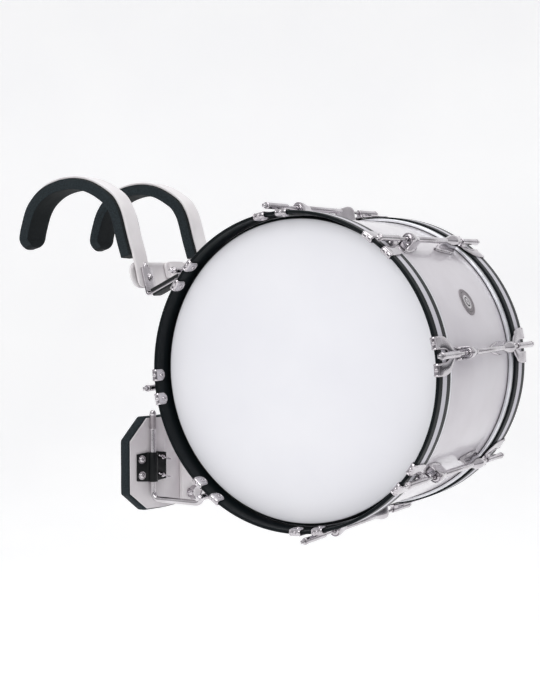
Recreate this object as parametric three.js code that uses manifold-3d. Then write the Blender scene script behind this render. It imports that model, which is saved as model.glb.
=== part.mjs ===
// A marching bass drum on its shoulder carrier, in millimetres.
// +Z is up, +X is the way the player faces, and the drum's axis runs along Y with its front head at -Y.
// The drum is drawn about its own centre, and the carrier about the key rod that hangs in its hooks. The whole
// assembly is then moved, so that the origin is on the player's shoulders, halfway between the two pads.
import * as THREE from "three";
import { ConvexGeometry } from "three/addons/geometries/ConvexGeometry.js";
import { mergeVertices } from "three/addons/utils/BufferGeometryUtils.js";
import Module from "manifold-3d";

const wasm = await Module();
wasm.setup();

// Driving sizes of the drum.
const SHELL_OUTER_RADIUS = 279.4;
const SHELL_DEPTH = 355.6;
const HOOP_CLEARANCE = 4.6;
const HOOP_THICKNESS = 6;
const HOOP_WIDTH = 54;
const HOOP_PROUD = 38.2;
const LUG_COUNT = 8;
const FIRST_LUG_ANGLE_DEG = 97.5;
const HELD_LUG = 8;
const ROD_STANDOFF = 11;
// Driving sizes of the carrier.
const SHOULDER_SPACING = 238;
const BAR_WIDTH = 44;
const BAR_THICKNESS = 4.5;
const PAD_WIDTH = 62;
const PAD_THICKNESS = 25;
const SUPPORT_ROD_RADIUS = 5.2;
const SUPPORT_ROD_SPACING = 224;

const GAP = 0.3;
const WELD = 0.001;
const RING_SEGMENTS = 72;
const ROUND_SIDES = 16;
const SMALL_ROUND_SIDES = 12;
const TUBE_SIDES = 10;
const ROD_SIDES = 8;
const ARC_STEPS = 6;
const LEAF_STEPS = 5;
const TURN_DEG = 360;

const radians = THREE.MathUtils.degToRad;
const degrees = THREE.MathUtils.radToDeg;
const half = (value) => value / 2;

// Materials, in the colours of the real finishes.
const material = (color, roughness, metalness) => new THREE.MeshStandardMaterial({ color, roughness, metalness });
const whiteWrap = material(0xd8d5da, 0.3, 0);
const drumFilm = material(0xededf2, 0.45, 0);
const blackLacquer = material(0x1e2427, 0.3, 0);
const chrome = material(0xb5abac, 0.15, 1);
const whitePaint = material(0xe9e6e7, 0.3, 0);
const greyPaint = material(0xd3cfd1, 0.35, 0.2);
const blackFoam = material(0x2a3134, 0.95, 0);
const blackPaint = material(0x15181a, 0.45, 0.3);

// Solids from three.js geometry, joined and cut with manifold-3d.
function solidOf(geometry) {
  const bare = geometry.clone();
  bare.deleteAttribute("normal");
  bare.deleteAttribute("uv");
  const merged = mergeVertices(bare, WELD);
  const corners = merged.index.array;
  const kept = [];
  for (let i = 0; i < corners.length; i += 3) {
    const [a, b, c] = corners.slice(i, i + 3);
    if (a !== b && b !== c && a !== c) kept.push(a, b, c);
  }
  const vertProperties = new Float32Array(merged.attributes.position.array);
  const build = (triangles) =>
    new wasm.Manifold(new wasm.Mesh({ numProp: 3, vertProperties, triVerts: new Uint32Array(triangles) }));
  const made = build(kept);
  return made.volume() < 0 ? build(kept.reverse()) : made;
}

function geometryOf(solid) {
  const mesh = solid.getMesh();
  return new THREE.BufferGeometry()
    .setAttribute("position", new THREE.BufferAttribute(new Float32Array(mesh.vertProperties), mesh.numProp))
    .setIndex(new THREE.BufferAttribute(new Uint32Array(mesh.triVerts), 1));
}

const join = (...solids) => solids.reduce((a, b) => a.add(b));
const cut = (solid, ...tools) => tools.reduce((a, b) => a.subtract(b), solid);
const mirrored = (solid) => solid.mirror([0, 1, 0]);

function piece(name, geometry, finish) {
  const mesh = new THREE.Mesh(geometry, finish);
  mesh.name = name;
  return mesh;
}

// A ring or disc turned about Y, from [radius, y] points.
function turned(profile, segments = RING_SEGMENTS) {
  const points = [...profile, profile[0]].map(([r, y]) => new THREE.Vector2(r, y));
  return solidOf(new THREE.LatheGeometry(points, segments));
}

function roundBarAlongY(radius, x, y0, y1, sides = ROUND_SIDES) {
  const bar = new THREE.CylinderGeometry(radius, radius, y1 - y0, sides);
  bar.translate(x, half(y0 + y1), 0);
  return solidOf(bar);
}

function roundBarAlongX(radius, x0, x1, z, sides = ROUND_SIDES) {
  const bar = new THREE.CylinderGeometry(radius, radius, x1 - x0, sides);
  bar.rotateZ(half(Math.PI));
  bar.translate(half(x0 + x1), 0, z);
  return solidOf(bar);
}

function roundBarAlongZ(radius, x, y, z0, z1) {
  const bar = new THREE.CylinderGeometry(radius, radius, z1 - z0, SMALL_ROUND_SIDES);
  bar.rotateX(half(Math.PI));
  bar.translate(x, y, half(z0 + z1));
  return solidOf(bar);
}

function box(x0, x1, y0, y1, z0, z1) {
  const block = new THREE.BoxGeometry(x1 - x0, y1 - y0, z1 - z0);
  block.translate(half(x0 + x1), half(y0 + y1), half(z0 + z1));
  return solidOf(block);
}

const X_AXIS = new THREE.Vector3(1, 0, 0);
const Y_AXIS = new THREE.Vector3(0, 1, 0);
const Z_AXIS = new THREE.Vector3(0, 0, 1);
const shapeOf = (points) => new THREE.Shape(points.map(([a, b]) => new THREE.Vector2(a, b)));
const pushed = (points, depth) => new THREE.ExtrudeGeometry(shapeOf(points), { depth, bevelEnabled: false });

// An outline of [x, z] points pushed out along Y, width wide about y = middle.
function acrossY(points, width, middle) {
  const plate = pushed(points, width);
  plate.applyMatrix4(new THREE.Matrix4().makeBasis(X_AXIS, Z_AXIS, Y_AXIS.clone().negate()));
  plate.translate(0, middle + half(width), 0);
  return solidOf(plate);
}

// An outline of [y, z] points pushed out along X.
function acrossX(points, x0, x1) {
  const plate = pushed(points, x1 - x0);
  plate.applyMatrix4(new THREE.Matrix4().makeBasis(Y_AXIS, Z_AXIS, X_AXIS));
  plate.translate(x0, 0, 0);
  return solidOf(plate);
}

// An outline of [x, y] points pushed up along Z.
function acrossZ(points, z0, z1) {
  const plate = pushed(points, z1 - z0);
  plate.translate(0, 0, z0);
  return solidOf(plate);
}

function arc(cx, cy, radius, startDeg, endDeg, steps = ARC_STEPS) {
  return Array.from({ length: steps + 1 }, (unused, i) => {
    const turn = radians(startDeg + ((endDeg - startDeg) * i) / steps);
    return [cx + radius * Math.cos(turn), cy + radius * Math.sin(turn)];
  });
}

// The outline of a strip beside a line of points, from one distance to another on the line's left.
function strip(line, near, far) {
  const lefts = line.map((unused, i) => {
    const [ax, ay] = line[Math.max(i - 1, 0)];
    const [bx, by] = line[Math.min(i + 1, line.length - 1)];
    const length = Math.hypot(bx - ax, by - ay);
    return [(ay - by) / length, (bx - ax) / length];
  });
  const beside = (distance) => line.map(([x, y], i) => [x + lefts[i][0] * distance, y + lefts[i][1] * distance]);
  return [...beside(near), ...beside(far).reverse()];
}

// A path through points in an XZ plane, with one step to each point.
class RodPath extends THREE.Curve {
  constructor(line, y) {
    super();
    this.points = line.map(([x, z]) => new THREE.Vector3(x, y, z));
  }
  getPointAt(share) {
    return this.points[Math.round(share * (this.points.length - 1))].clone();
  }
  getTangentAt(share) {
    const i = Math.round(share * (this.points.length - 1));
    const before = this.points[Math.max(i - 1, 0)];
    const after = this.points[Math.min(i + 1, this.points.length - 1)];
    return after.clone().sub(before).normalize();
  }
}

function bentRod(line, radius, y) {
  const rim = arc(0, 0, radius, 0, TURN_DEG, SMALL_ROUND_SIDES).slice(1);
  return solidOf(
    new THREE.ExtrudeGeometry(shapeOf(rim), {
      steps: line.length - 1,
      extrudePath: new RodPath(line, y),
      bevelEnabled: false,
    }),
  );
}

const hoopInner = SHELL_OUTER_RADIUS + HOOP_CLEARANCE;
const hoopOuter = hoopInner + HOOP_THICKNESS;
const rodCircle = hoopOuter + ROD_STANDOFF;
const shellEnd = half(SHELL_DEPTH);
const hoopFront = shellEnd + HOOP_PROUD;
const hoopBack = hoopFront - HOOP_WIDTH;
const lugAngle = (n) => FIRST_LUG_ANGLE_DEG - (TURN_DEG / LUG_COUNT) * (n - 1);
const [heldX, heldZ] = arc(0, 0, rodCircle, lugAngle(HELD_LUG), lugAngle(HELD_LUG), 1)[0];

const drum = new THREE.Group();
const carrier = new THREE.Group();
carrier.position.set(heldX, 0, heldZ);

// The rings are turned with the first lug, so that their flats meet every claw and lug in the same way.
const rings = new THREE.Group();
rings.rotation.y = -radians(FIRST_LUG_ANGLE_DEG);
drum.add(rings);

// The shell, a plain tube with a bearing edge on each end.
const SHELL_THICKNESS = 7;
const EDGE_INNER_BEVEL = 2.6;
const edgeOuterBevel = SHELL_THICKNESS - EDGE_INNER_BEVEL;
const shellInner = SHELL_OUTER_RADIUS - SHELL_THICKNESS;
const edgeRadius = shellInner + EDGE_INNER_BEVEL;
const shellSolid = turned([
  [shellInner, -shellEnd + EDGE_INNER_BEVEL],
  [edgeRadius, -shellEnd],
  [SHELL_OUTER_RADIUS, -shellEnd + edgeOuterBevel],
  [SHELL_OUTER_RADIUS, shellEnd - edgeOuterBevel],
  [edgeRadius, shellEnd],
  [shellInner, shellEnd - EDGE_INNER_BEVEL],
]);
rings.add(piece("shell", geometryOf(shellSolid), whiteWrap));

// The heads: a film over the bearing edge, with a collar that runs down into a flesh hoop.
const FILM_THICKNESS = 1;
const COLLAR_GAP = 0.5;
const FLESH_HOOP_THICKNESS = 5.5;
const FLESH_HOOP_HEIGHT = 13.2;
const filmBack = shellEnd + GAP;
const collarInner = SHELL_OUTER_RADIUS + COLLAR_GAP;
const collarOuter = collarInner + FILM_THICKNESS;
const fleshOuter = collarOuter + FLESH_HOOP_THICKNESS;
const fleshFront = hoopBack - GAP;
const fleshBack = fleshFront - FLESH_HOOP_HEIGHT;
const headSolid = turned([
  [0, filmBack],
  [edgeRadius, filmBack],
  [collarInner, shellEnd - edgeOuterBevel],
  [collarInner, fleshBack],
  [fleshOuter, fleshBack],
  [fleshOuter, fleshFront],
  [collarOuter, fleshFront],
  [collarOuter, shellEnd - edgeOuterBevel],
  [edgeRadius + FILM_THICKNESS, filmBack + FILM_THICKNESS],
  [0, filmBack + FILM_THICKNESS],
]);

// The counter hoops, of lacquered wood.
const HOOP_ROUNDING = 2;
const hoopSolid = turned([
  [hoopInner, hoopBack + HOOP_ROUNDING],
  [hoopInner + HOOP_ROUNDING, hoopBack],
  [hoopOuter - HOOP_ROUNDING, hoopBack],
  [hoopOuter, hoopBack + HOOP_ROUNDING],
  [hoopOuter, hoopFront - HOOP_ROUNDING],
  [hoopOuter - HOOP_ROUNDING, hoopFront],
  [hoopInner + HOOP_ROUNDING, hoopFront],
  [hoopInner, hoopFront - HOOP_ROUNDING],
]);

// What is drawn for the back is turned end for end about the line through its lug to serve the front.
function pair(group, kind, solid, finish, tag = "") {
  const geometry = geometryOf(solid);
  const back = piece(`back_${kind}${tag}`, geometry, finish);
  const front = piece(`front_${kind}${tag}`, geometry, finish);
  front.rotation.x = Math.PI;
  group.add(front, back);
}
pair(rings, "head", headSolid, drumFilm);
pair(rings, "hoop", hoopSolid, blackLacquer);

// A claw: two arms over the hoop, each with a lobe inside it, and a bridge that carries the rod's tube.
const CLAW_THICKNESS = 2.8;
const CLAW_GAP = 0.4;
const CLAW_TUBE_RADIUS = 6;
const CLAW_BORE_RADIUS = 3.6;
const CLAW_TUBE_LENGTH = 77;
const CLAW_TUBE_OVERHANG = 9;
const LOBE_SPACING = 42;
const LOBE_WIDTH = 19;
const LOBE_DEPTH = 15;
const ARM_ROOT_HALF_WIDTH = 21;
const ARM_FLARE_HALF_WIDTH = 29;
const BRIDGE_HALF_WIDTH = 9;
const CROTCH_HALF_WIDTH = 6;
const BRIDGE_DEPTH = 17;
const BRIDGE_OFFSET = 12;
const ARM_FLARE_OFFSET = 14;
const ARM_STRAIGHT_OFFSET = 34;
const CROTCH_OFFSET = 9;
const clawOuter = hoopOuter + CLAW_GAP;
const clawInner = hoopInner - CLAW_GAP;
const clawFace = hoopFront + CLAW_GAP;
const clawTip = clawFace + CLAW_THICKNESS;
const clawTubeFront = hoopFront + CLAW_TUBE_OVERHANG;
const clawTubeBack = clawTubeFront - CLAW_TUBE_LENGTH;
const bridgeBack = hoopBack - BRIDGE_OFFSET;
const lobeMiddle = half(LOBE_SPACING);
const armInside = lobeMiddle - half(LOBE_WIDTH);
const armOutside = lobeMiddle + half(LOBE_WIDTH);
const armOutline = [
  [bridgeBack, BRIDGE_HALF_WIDTH],
  [hoopBack, ARM_ROOT_HALF_WIDTH],
  [hoopBack + ARM_FLARE_OFFSET, ARM_FLARE_HALF_WIDTH],
  [hoopBack + ARM_STRAIGHT_OFFSET, armOutside],
  [clawTip, armOutside],
  [clawTip, armInside],
  [hoopBack + ARM_STRAIGHT_OFFSET, armInside],
  [hoopBack + CROTCH_OFFSET, CROTCH_HALF_WIDTH],
];
const otherSide = (outline) => outline.map(([y, z]) => [y, -z]).reverse();
const wallRing = (r0, r1, y0, y1) => turned([[r0, y0], [r1, y0], [r1, y1], [r0, y1]]);
const throughWall = (outline) => acrossX(outline, shellInner - HOOP_THICKNESS, rodCircle);
const clawArms = throughWall([...armOutline, ...otherSide(armOutline)]).intersect(
  wallRing(clawOuter, clawOuter + CLAW_THICKNESS, bridgeBack, clawTip),
);
const bentOver = (side) =>
  throughWall([
    [clawFace, side * armInside],
    [clawTip, side * armInside],
    [clawTip, side * armOutside],
    [clawFace, side * armOutside],
  ]).intersect(wallRing(clawInner - CLAW_THICKNESS, clawOuter + CLAW_THICKNESS, clawFace, clawTip));
const roundedLobe = arc(0, 0, 1, -90, 90 - TURN_DEG, LEAF_STEPS);
const lobe = (side) =>
  throughWall([
    [clawTip, side * lobeMiddle + half(LOBE_WIDTH)],
    [clawTip, side * lobeMiddle - half(LOBE_WIDTH)],
    ...roundedLobe.map(([deep, wide]) => [
      clawFace - half(LOBE_DEPTH) + deep * half(LOBE_DEPTH),
      side * lobeMiddle + wide * half(LOBE_WIDTH),
    ]),
  ]).intersect(wallRing(clawInner - CLAW_THICKNESS, clawInner, clawFace - LOBE_DEPTH, clawTip));
const clawBridge = box(
  clawOuter,
  rodCircle,
  bridgeBack,
  bridgeBack + BRIDGE_DEPTH,
  -CROTCH_HALF_WIDTH,
  CROTCH_HALF_WIDTH,
);
const clawSolid = cut(
  join(
    clawArms,
    clawBridge,
    bentOver(1),
    bentOver(-1),
    lobe(1),
    lobe(-1),
    roundBarAlongY(CLAW_TUBE_RADIUS, rodCircle, clawTubeBack, clawTubeFront, TUBE_SIDES),
  ),
  roundBarAlongY(CLAW_BORE_RADIUS, rodCircle, clawTubeBack - GAP, clawTubeFront + GAP, ROD_SIDES),
);

// A lug: a tube between two leaf-shaped feet, each with an arched mouth that the rod goes into.
const LUG_MARGIN = 63.8;
const LUG_TUBE_RADIUS = 5.5;
const LUG_BORE_RADIUS = 3.6;
const LUG_BORE_LENGTH = 64;
const MOUTH_RADIUS = 8.4;
const MOUTH_DEPTH = 22;
const ARCH_RADIUS = 11.4;
const ARCH_SETBACK = 8;
const ARCH_DEPTH = 8;
const LEG_HALF_WIDTH = 12.6;
const LEG_HEIGHT = 11;
const WAIST_SETBACK = 36;
const WAIST_HALF_WIDTH = 10.5;
const WAIST_HEIGHT = 26;
const TAIL_SETBACK = 70;
const TAIL_HALF_WIDTH = 3;
const legReach = shellEnd - LUG_MARGIN;
const archReach = legReach - ARCH_SETBACK;
const waistReach = legReach - WAIST_SETBACK;
const tailReach = legReach - TAIL_SETBACK;
const lugTubeReach = legReach - MOUTH_DEPTH;
const lugSeat = SHELL_OUTER_RADIUS + GAP;
const legTopRadius = SHELL_OUTER_RADIUS + LEG_HEIGHT;
const footCorners = [];
function footCorner(x, y, z) {
  footCorners.push(new THREE.Vector3(x, y, z), new THREE.Vector3(x, y, -z));
}
for (const [x, z] of arc(rodCircle, 0, ARCH_RADIUS, 0, 90, LEAF_STEPS)) {
  footCorner(x, archReach, z);
  footCorner(x, archReach - ARCH_DEPTH, z);
}
footCorner(shellInner, legReach, LEG_HALF_WIDTH);
footCorner(legTopRadius, legReach, LEG_HALF_WIDTH);
footCorner(shellInner, waistReach, WAIST_HALF_WIDTH);
footCorner(SHELL_OUTER_RADIUS + WAIST_HEIGHT, waistReach, half(TAIL_HALF_WIDTH));
footCorner(shellInner, tailReach, TAIL_HALF_WIDTH);
footCorner(rodCircle, tailReach, half(TAIL_HALF_WIDTH));
const footSolid = solidOf(new ConvexGeometry(footCorners));
const mouthSolid = join(
  roundBarAlongY(MOUTH_RADIUS, rodCircle, lugTubeReach, legReach + GAP, TUBE_SIDES),
  roundBarAlongY(LUG_BORE_RADIUS, rodCircle, legReach - LUG_BORE_LENGTH, legReach, ROD_SIDES),
);
const lugSolid = cut(
  join(
    roundBarAlongY(LUG_TUBE_RADIUS, rodCircle, -lugTubeReach, lugTubeReach, TUBE_SIDES),
    footSolid,
    mirrored(footSolid),
  ),
  mouthSolid,
  mirrored(mouthSolid),
  turned([[0, -shellEnd], [lugSeat, -shellEnd], [lugSeat, shellEnd], [0, shellEnd]]),
);

// A key rod: its shank, washer and square head.
const ROD_RADIUS = 3;
const ROD_REACH = 54;
const WASHER_RADIUS = 5.6;
const WASHER_THICKNESS = 1.6;
const KEY_WIDTH = 6.4;
const KEY_LENGTH = 9;
const washerBack = clawTubeFront + GAP;
const washerFront = washerBack + WASHER_THICKNESS;
const rodSolid = join(
  roundBarAlongY(ROD_RADIUS, rodCircle, legReach - ROD_REACH, washerFront, ROD_SIDES),
  roundBarAlongY(WASHER_RADIUS, rodCircle, washerBack, washerFront, SMALL_ROUND_SIDES),
  box(
    rodCircle - half(KEY_WIDTH),
    rodCircle + half(KEY_WIDTH),
    washerFront - GAP,
    washerFront + KEY_LENGTH,
    -half(KEY_WIDTH),
    half(KEY_WIDTH),
  ),
);

for (let n = 1; n <= LUG_COUNT; n++) {
  const station = new THREE.Group();
  station.rotation.y = -radians(lugAngle(n));
  station.add(piece(`lug_${n}`, geometryOf(lugSolid), chrome));
  pair(station, "claw", clawSolid, chrome, `_${n}`);
  pair(station, "rod", rodSolid, chrome, `_${n}`);
  drum.add(station);
}

function leftAndRight(kind, rightSolid, finish) {
  carrier.add(
    piece(`right_${kind}`, geometryOf(rightSolid), finish),
    piece(`left_${kind}`, geometryOf(mirrored(rightSolid)), finish),
  );
}

// The line where a shoulder bar lies on its pad, from the pad's rear end over the shoulder, as [x, z].
const ARCH_LINE_SIZES = [
  [-425, 41], [-430, 64], [-423, 95], [-410, 128], [-390, 152.5], [-362, 171], [-328, 181.5],
  [-297, 184.4], [-267, 181], [-237, 170.5], [-202, 149.5], [-185, 128], [-175, 105], [-165, 70],
  [-152.5, 30],
];
const BAR_FOOT_SIZES = [-137, -33];
const ARCH_STEPS = 24;
const archCurve = new THREE.SplineCurve(ARCH_LINE_SIZES.map(([x, z]) => new THREE.Vector2(x, z)));
const archLength = archCurve.getLength();
const archLine = archCurve.getSpacedPoints(ARCH_STEPS).map((point) => [point.x, point.y]);
const rightShoulderY = -half(SHOULDER_SPACING);

// A shoulder pad: foam with a crowned underside, drawn along the arch and rounded off at its rear end.
const PAD_END_RADIUS = 27;
const PAD_END_SHARES = [0, 0.06, 0.23, 0.5, 1];
// Half of the pad's section, as [inset from its side, depth below its outer face].
const PAD_SECTION_SHARES = [
  [0.056, 0], [0.016, 0.04], [0, 0.14], [0, 0.7], [0.035, 0.83], [0.12, 0.93], [0.274, 0.985],
];
function shoulderPad() {
  const evenly = Array.from({ length: ARCH_STEPS }, (unused, i) => (archLength * (i + 1)) / ARCH_STEPS);
  const stations = [
    ...PAD_END_SHARES.map((share) => share * PAD_END_RADIUS),
    ...evenly.filter((distance) => distance > PAD_END_RADIUS + half(archLength / ARCH_STEPS)),
  ];
  const side = PAD_SECTION_SHARES.map(([inset, depth]) => [1 - 2 * inset, depth * PAD_THICKNESS]);
  const section = [...side, [0, PAD_THICKNESS], ...side.map(([across, depth]) => [-across, depth]).reverse()];
  const corners = stations.flatMap((distance) => {
    const share = Math.min(distance / archLength, 1);
    const point = archCurve.getPointAt(share);
    const ahead = archCurve.getTangentAt(share);
    const short = PAD_END_RADIUS - Math.min(distance, PAD_END_RADIUS);
    const halfWidth = half(PAD_WIDTH) - PAD_END_RADIUS + Math.sqrt(PAD_END_RADIUS ** 2 - short ** 2);
    return section.flatMap(([across, depth]) => [
      point.x + ahead.y * depth,
      rightShoulderY + across * halfWidth,
      point.y - ahead.x * depth,
    ]);
  });
  const count = section.length;
  const last = (stations.length - 1) * count;
  const faces = [];
  for (let k = 0; k < count; k++) {
    const next = (k + 1) % count;
    for (let a = 0; a < last; a += count) {
      faces.push(a + k, a + next, a + count + k, a + next, a + count + next, a + count + k);
    }
  }
  for (let k = 1; k + 1 < count; k++) faces.push(0, k + 1, k, last, last + k, last + k + 1);
  const foam = new THREE.BufferGeometry();
  foam.setAttribute("position", new THREE.BufferAttribute(new Float32Array(corners), 3));
  foam.setIndex(faces);
  return solidOf(foam);
}
leftAndRight("shoulder_pad", shoulderPad(), blackFoam);

// A shoulder bar: flat aluminium over the pad, with a straight foot in front.
const BAR_REAR_STEPS = 3;
const barLine = [...archLine.slice(BAR_REAR_STEPS), BAR_FOOT_SIZES];
leftAndRight(
  "shoulder_bar",
  acrossY(strip(barLine, GAP, GAP + BAR_THICKNESS), BAR_WIDTH, rightShoulderY),
  whitePaint,
);

// Plates that lie along the bars' feet are drawn upright, as [y, height above the foot], and then tilted.
const [footX, footZ] = BAR_FOOT_SIZES;
const [kneeX, kneeZ] = ARCH_LINE_SIZES[ARCH_LINE_SIZES.length - 1];
const footLength = Math.hypot(kneeX - footX, kneeZ - footZ);
const upFoot = [(kneeX - footX) / footLength, (kneeZ - footZ) / footLength];
const outFoot = [upFoot[1], -upFoot[0]];
const onFoot = (height, out) => [
  footX + upFoot[0] * height + outFoot[0] * out,
  footZ + upFoot[1] * height + outFoot[1] * out,
];
function alongFeet(outline, near, far) {
  const tiltDeg = degrees(Math.atan2(upFoot[0], upFoot[1]));
  return acrossX(outline, near, far).rotate([0, tiltDeg, 0]).translate([footX, 0, footZ]);
}
const roundedPlate = (halfWidth, bottom, top, radius) => [
  ...arc(halfWidth - radius, bottom + radius, radius, -90, 0),
  ...arc(halfWidth - radius, top - radius, radius, 0, 90),
  ...arc(radius - halfWidth, top - radius, radius, 90, 180),
  ...arc(radius - halfWidth, bottom + radius, radius, 180, 270),
];

// The yoke plate joins the two bars behind their feet.
const YOKE_OVERHANG = 16;
const YOKE_HEIGHT = 52;
const YOKE_DROP = 1.5;
const YOKE_THICKNESS = 4;
const YOKE_END_RADIUS = 25;
const yokeTop = YOKE_HEIGHT - YOKE_DROP;
const yokeHalfWidth = half(SHOULDER_SPACING + BAR_WIDTH) + YOKE_OVERHANG;
carrier.add(
  piece(
    "yoke_plate",
    geometryOf(
      alongFeet(roundedPlate(yokeHalfWidth, -YOKE_DROP, yokeTop, YOKE_END_RADIUS), -YOKE_THICKNESS - GAP, -GAP),
    ),
    whitePaint,
  ),
);

// The belly plate is bent back at its wings, and its corners are cut.
const BELLY_FACE_X = -120.5;
const BELLY_TOP = -293;
const BELLY_HEIGHT = 181;
const BELLY_WIDTH = 312;
const BELLY_FLAT_WIDTH = 160;
const BELLY_WING_DEG = 20;
const BELLY_THICKNESS = 3;
const BELLY_CORNER_WIDTH = 38;
const BELLY_TOP_CORNER_HEIGHT = 45;
const BELLY_BOTTOM_CORNER_HEIGHT = 34;
const BELLY_TRAVEL = 40;
const BELLY_PAD_THICKNESS = 20;
const BELLY_PAD_OVERHANG = 3;
const BOLT_RADIUS = 4;
const BOLT_HOLE_RADIUS = 4.4;
const BOLT_OFFSET = 18;
const bellyBottom = BELLY_TOP - BELLY_HEIGHT;
const boltZ = bellyBottom + BOLT_OFFSET;
const wingSlope = Math.tan(radians(BELLY_WING_DEG));
const bellyFaceAt = (y) => BELLY_FACE_X - Math.max(Math.abs(y) - half(BELLY_FLAT_WIDTH), 0) * wingSlope;
function bellySheet(grow, near, far) {
  const reach = half(BELLY_WIDTH) + grow;
  const top = BELLY_TOP + grow;
  const bottom = bellyBottom - grow;
  const line = [-reach, -half(BELLY_FLAT_WIDTH), half(BELLY_FLAT_WIDTH), reach].map((y) => [bellyFaceAt(y), y]);
  const topCorner = (y) => [[y, top - BELLY_TOP_CORNER_HEIGHT], [y - Math.sign(y) * BELLY_CORNER_WIDTH, top]];
  const bottomCorner = (y) => [
    [y, bottom + BELLY_BOTTOM_CORNER_HEIGHT],
    [y - Math.sign(y) * BELLY_CORNER_WIDTH, bottom],
  ];
  const octagon = [
    ...bottomCorner(reach).reverse(),
    ...topCorner(reach),
    ...topCorner(-reach).reverse(),
    ...bottomCorner(-reach),
  ];
  return acrossZ(strip(line, near, far), bottom, top).intersect(
    acrossX(octagon, BELLY_FACE_X - reach, BELLY_FACE_X + GAP),
  );
}
const slotBack = BELLY_FACE_X - BELLY_THICKNESS - GAP;
const slotFront = BELLY_FACE_X + GAP;
const bellySlot = join(
  roundBarAlongX(BOLT_HOLE_RADIUS, slotBack, slotFront, boltZ),
  roundBarAlongX(BOLT_HOLE_RADIUS, slotBack, slotFront, boltZ + BELLY_TRAVEL),
  box(slotBack, slotFront, -BOLT_HOLE_RADIUS, BOLT_HOLE_RADIUS, boltZ, boltZ + BELLY_TRAVEL),
);
const padNear = BELLY_THICKNESS + GAP;
carrier.add(
  piece("belly_plate", geometryOf(cut(bellySheet(0, 0, BELLY_THICKNESS), bellySlot)), greyPaint),
  piece(
    "belly_pad",
    geometryOf(bellySheet(BELLY_PAD_OVERHANG, padNear, padNear + BELLY_PAD_THICKNESS)),
    blackFoam,
  ),
);

// The spine: a flat bar from its raised head on the yoke plate down over the belly plate.
const SPINE_WIDTH = 48;
const SPINE_THICKNESS = 8;
const SPINE_CORNER_RADIUS = 9;
const SPINE_HEAD_HALF_WIDTH = 38;
const SPINE_HEAD_BOTTOM = 14;
const SPINE_HEAD_THICKNESS = 4;
const SPINE_HEAD_RADIUS = 12;
const spineBack = BELLY_FACE_X + GAP;
const spineFront = spineBack + SPINE_THICKNESS;
const headTop = onFoot(yokeTop, half(GAP));
const bendDrop = ((spineBack - headTop[0]) / upFoot[0]) * upFoot[1];
const spineLine = [[spineBack, bellyBottom], [spineBack, headTop[1] + bendDrop], headTop];
const spineFace = [
  [half(SPINE_WIDTH), headTop[1] + SPINE_THICKNESS],
  [-half(SPINE_WIDTH), headTop[1] + SPINE_THICKNESS],
  ...arc(SPINE_CORNER_RADIUS - half(SPINE_WIDTH), bellyBottom + SPINE_CORNER_RADIUS, SPINE_CORNER_RADIUS, 180, 270),
  ...arc(half(SPINE_WIDTH) - SPINE_CORNER_RADIUS, bellyBottom + SPINE_CORNER_RADIUS, SPINE_CORNER_RADIUS, -90, 0),
];
const spineSolid = cut(
  join(
    acrossY(strip(spineLine, -SPINE_THICKNESS, 0), SPINE_WIDTH, 0).intersect(
      acrossX(spineFace, kneeX, spineFront + SPINE_WIDTH),
    ),
    alongFeet(
      roundedPlate(SPINE_HEAD_HALF_WIDTH, SPINE_HEAD_BOTTOM, yokeTop - GAP, SPINE_HEAD_RADIUS),
      half(GAP),
      SPINE_HEAD_THICKNESS,
    ),
  ),
  roundBarAlongX(BOLT_HOLE_RADIUS, spineBack - GAP, spineFront + GAP, boltZ),
);
carrier.add(piece("spine", geometryOf(spineSolid), whitePaint));

// The wing bolt clamps the spine to the belly plate through the plate's slot.
const HUB_RADIUS = 7;
const HUB_LENGTH = 9;
const WING_SPAN = 34;
const WING_LENGTH = 11;
const WING_THICKNESS = 3.2;
const WING_ROOT = 5;
const WING_LEAN = 7;
const hubStart = spineFront + GAP;
const wing = (side) => [
  [hubStart + half(WING_ROOT), boltZ],
  [hubStart + half(WING_ROOT), boltZ + side * WING_ROOT],
  [hubStart + WING_LEAN, boltZ + side * half(WING_SPAN)],
  [hubStart + WING_LEAN + WING_LENGTH, boltZ + side * half(WING_SPAN)],
  [hubStart + HUB_LENGTH, boltZ + side * WING_ROOT],
  [hubStart + HUB_LENGTH, boltZ],
];
const wingBoltSolid = join(
  roundBarAlongX(BOLT_RADIUS, BELLY_FACE_X - BELLY_THICKNESS + GAP, hubStart + GAP, boltZ, SMALL_ROUND_SIDES),
  roundBarAlongX(HUB_RADIUS, hubStart, hubStart + HUB_LENGTH, boltZ),
  acrossY(wing(1), WING_THICKNESS, 0),
  acrossY(wing(-1), WING_THICKNESS, 0),
);
carrier.add(piece("spine_wing_bolt", geometryOf(wingBoltSolid), chrome));

// A rod clamp on a wing of the belly plate, with a half-round ridge over the support rod.
const CLAMP_WIDTH = 70;
const CLAMP_HEIGHT = 59;
const CLAMP_DROP = 97;
const CLAMP_THICKNESS = 3;
const CLAMP_RIDGE_RADIUS = 9.6;
const ROD_CLEARANCE = 0.5;
const ROD_SEAT = 7;
const clampMiddle = BELLY_TOP - CLAMP_DROP;
const ridgeBore = SUPPORT_ROD_RADIUS + ROD_CLEARANCE;
const alongWing = [Math.sin(radians(BELLY_WING_DEG)), Math.cos(radians(BELLY_WING_DEG))];
const offWing = [alongWing[1], -alongWing[0]];
const rodY = -half(SUPPORT_ROD_SPACING);
const seatY = rodY - ROD_SEAT * offWing[1];
const seatX = bellyFaceAt(seatY);
const rodX = seatX + ROD_SEAT * offWing[0];
const clampTop = GAP + CLAMP_THICKNESS;
const ridgeDeg = degrees(Math.asin((ROD_SEAT - clampTop) / CLAMP_RIDGE_RADIUS));
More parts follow.
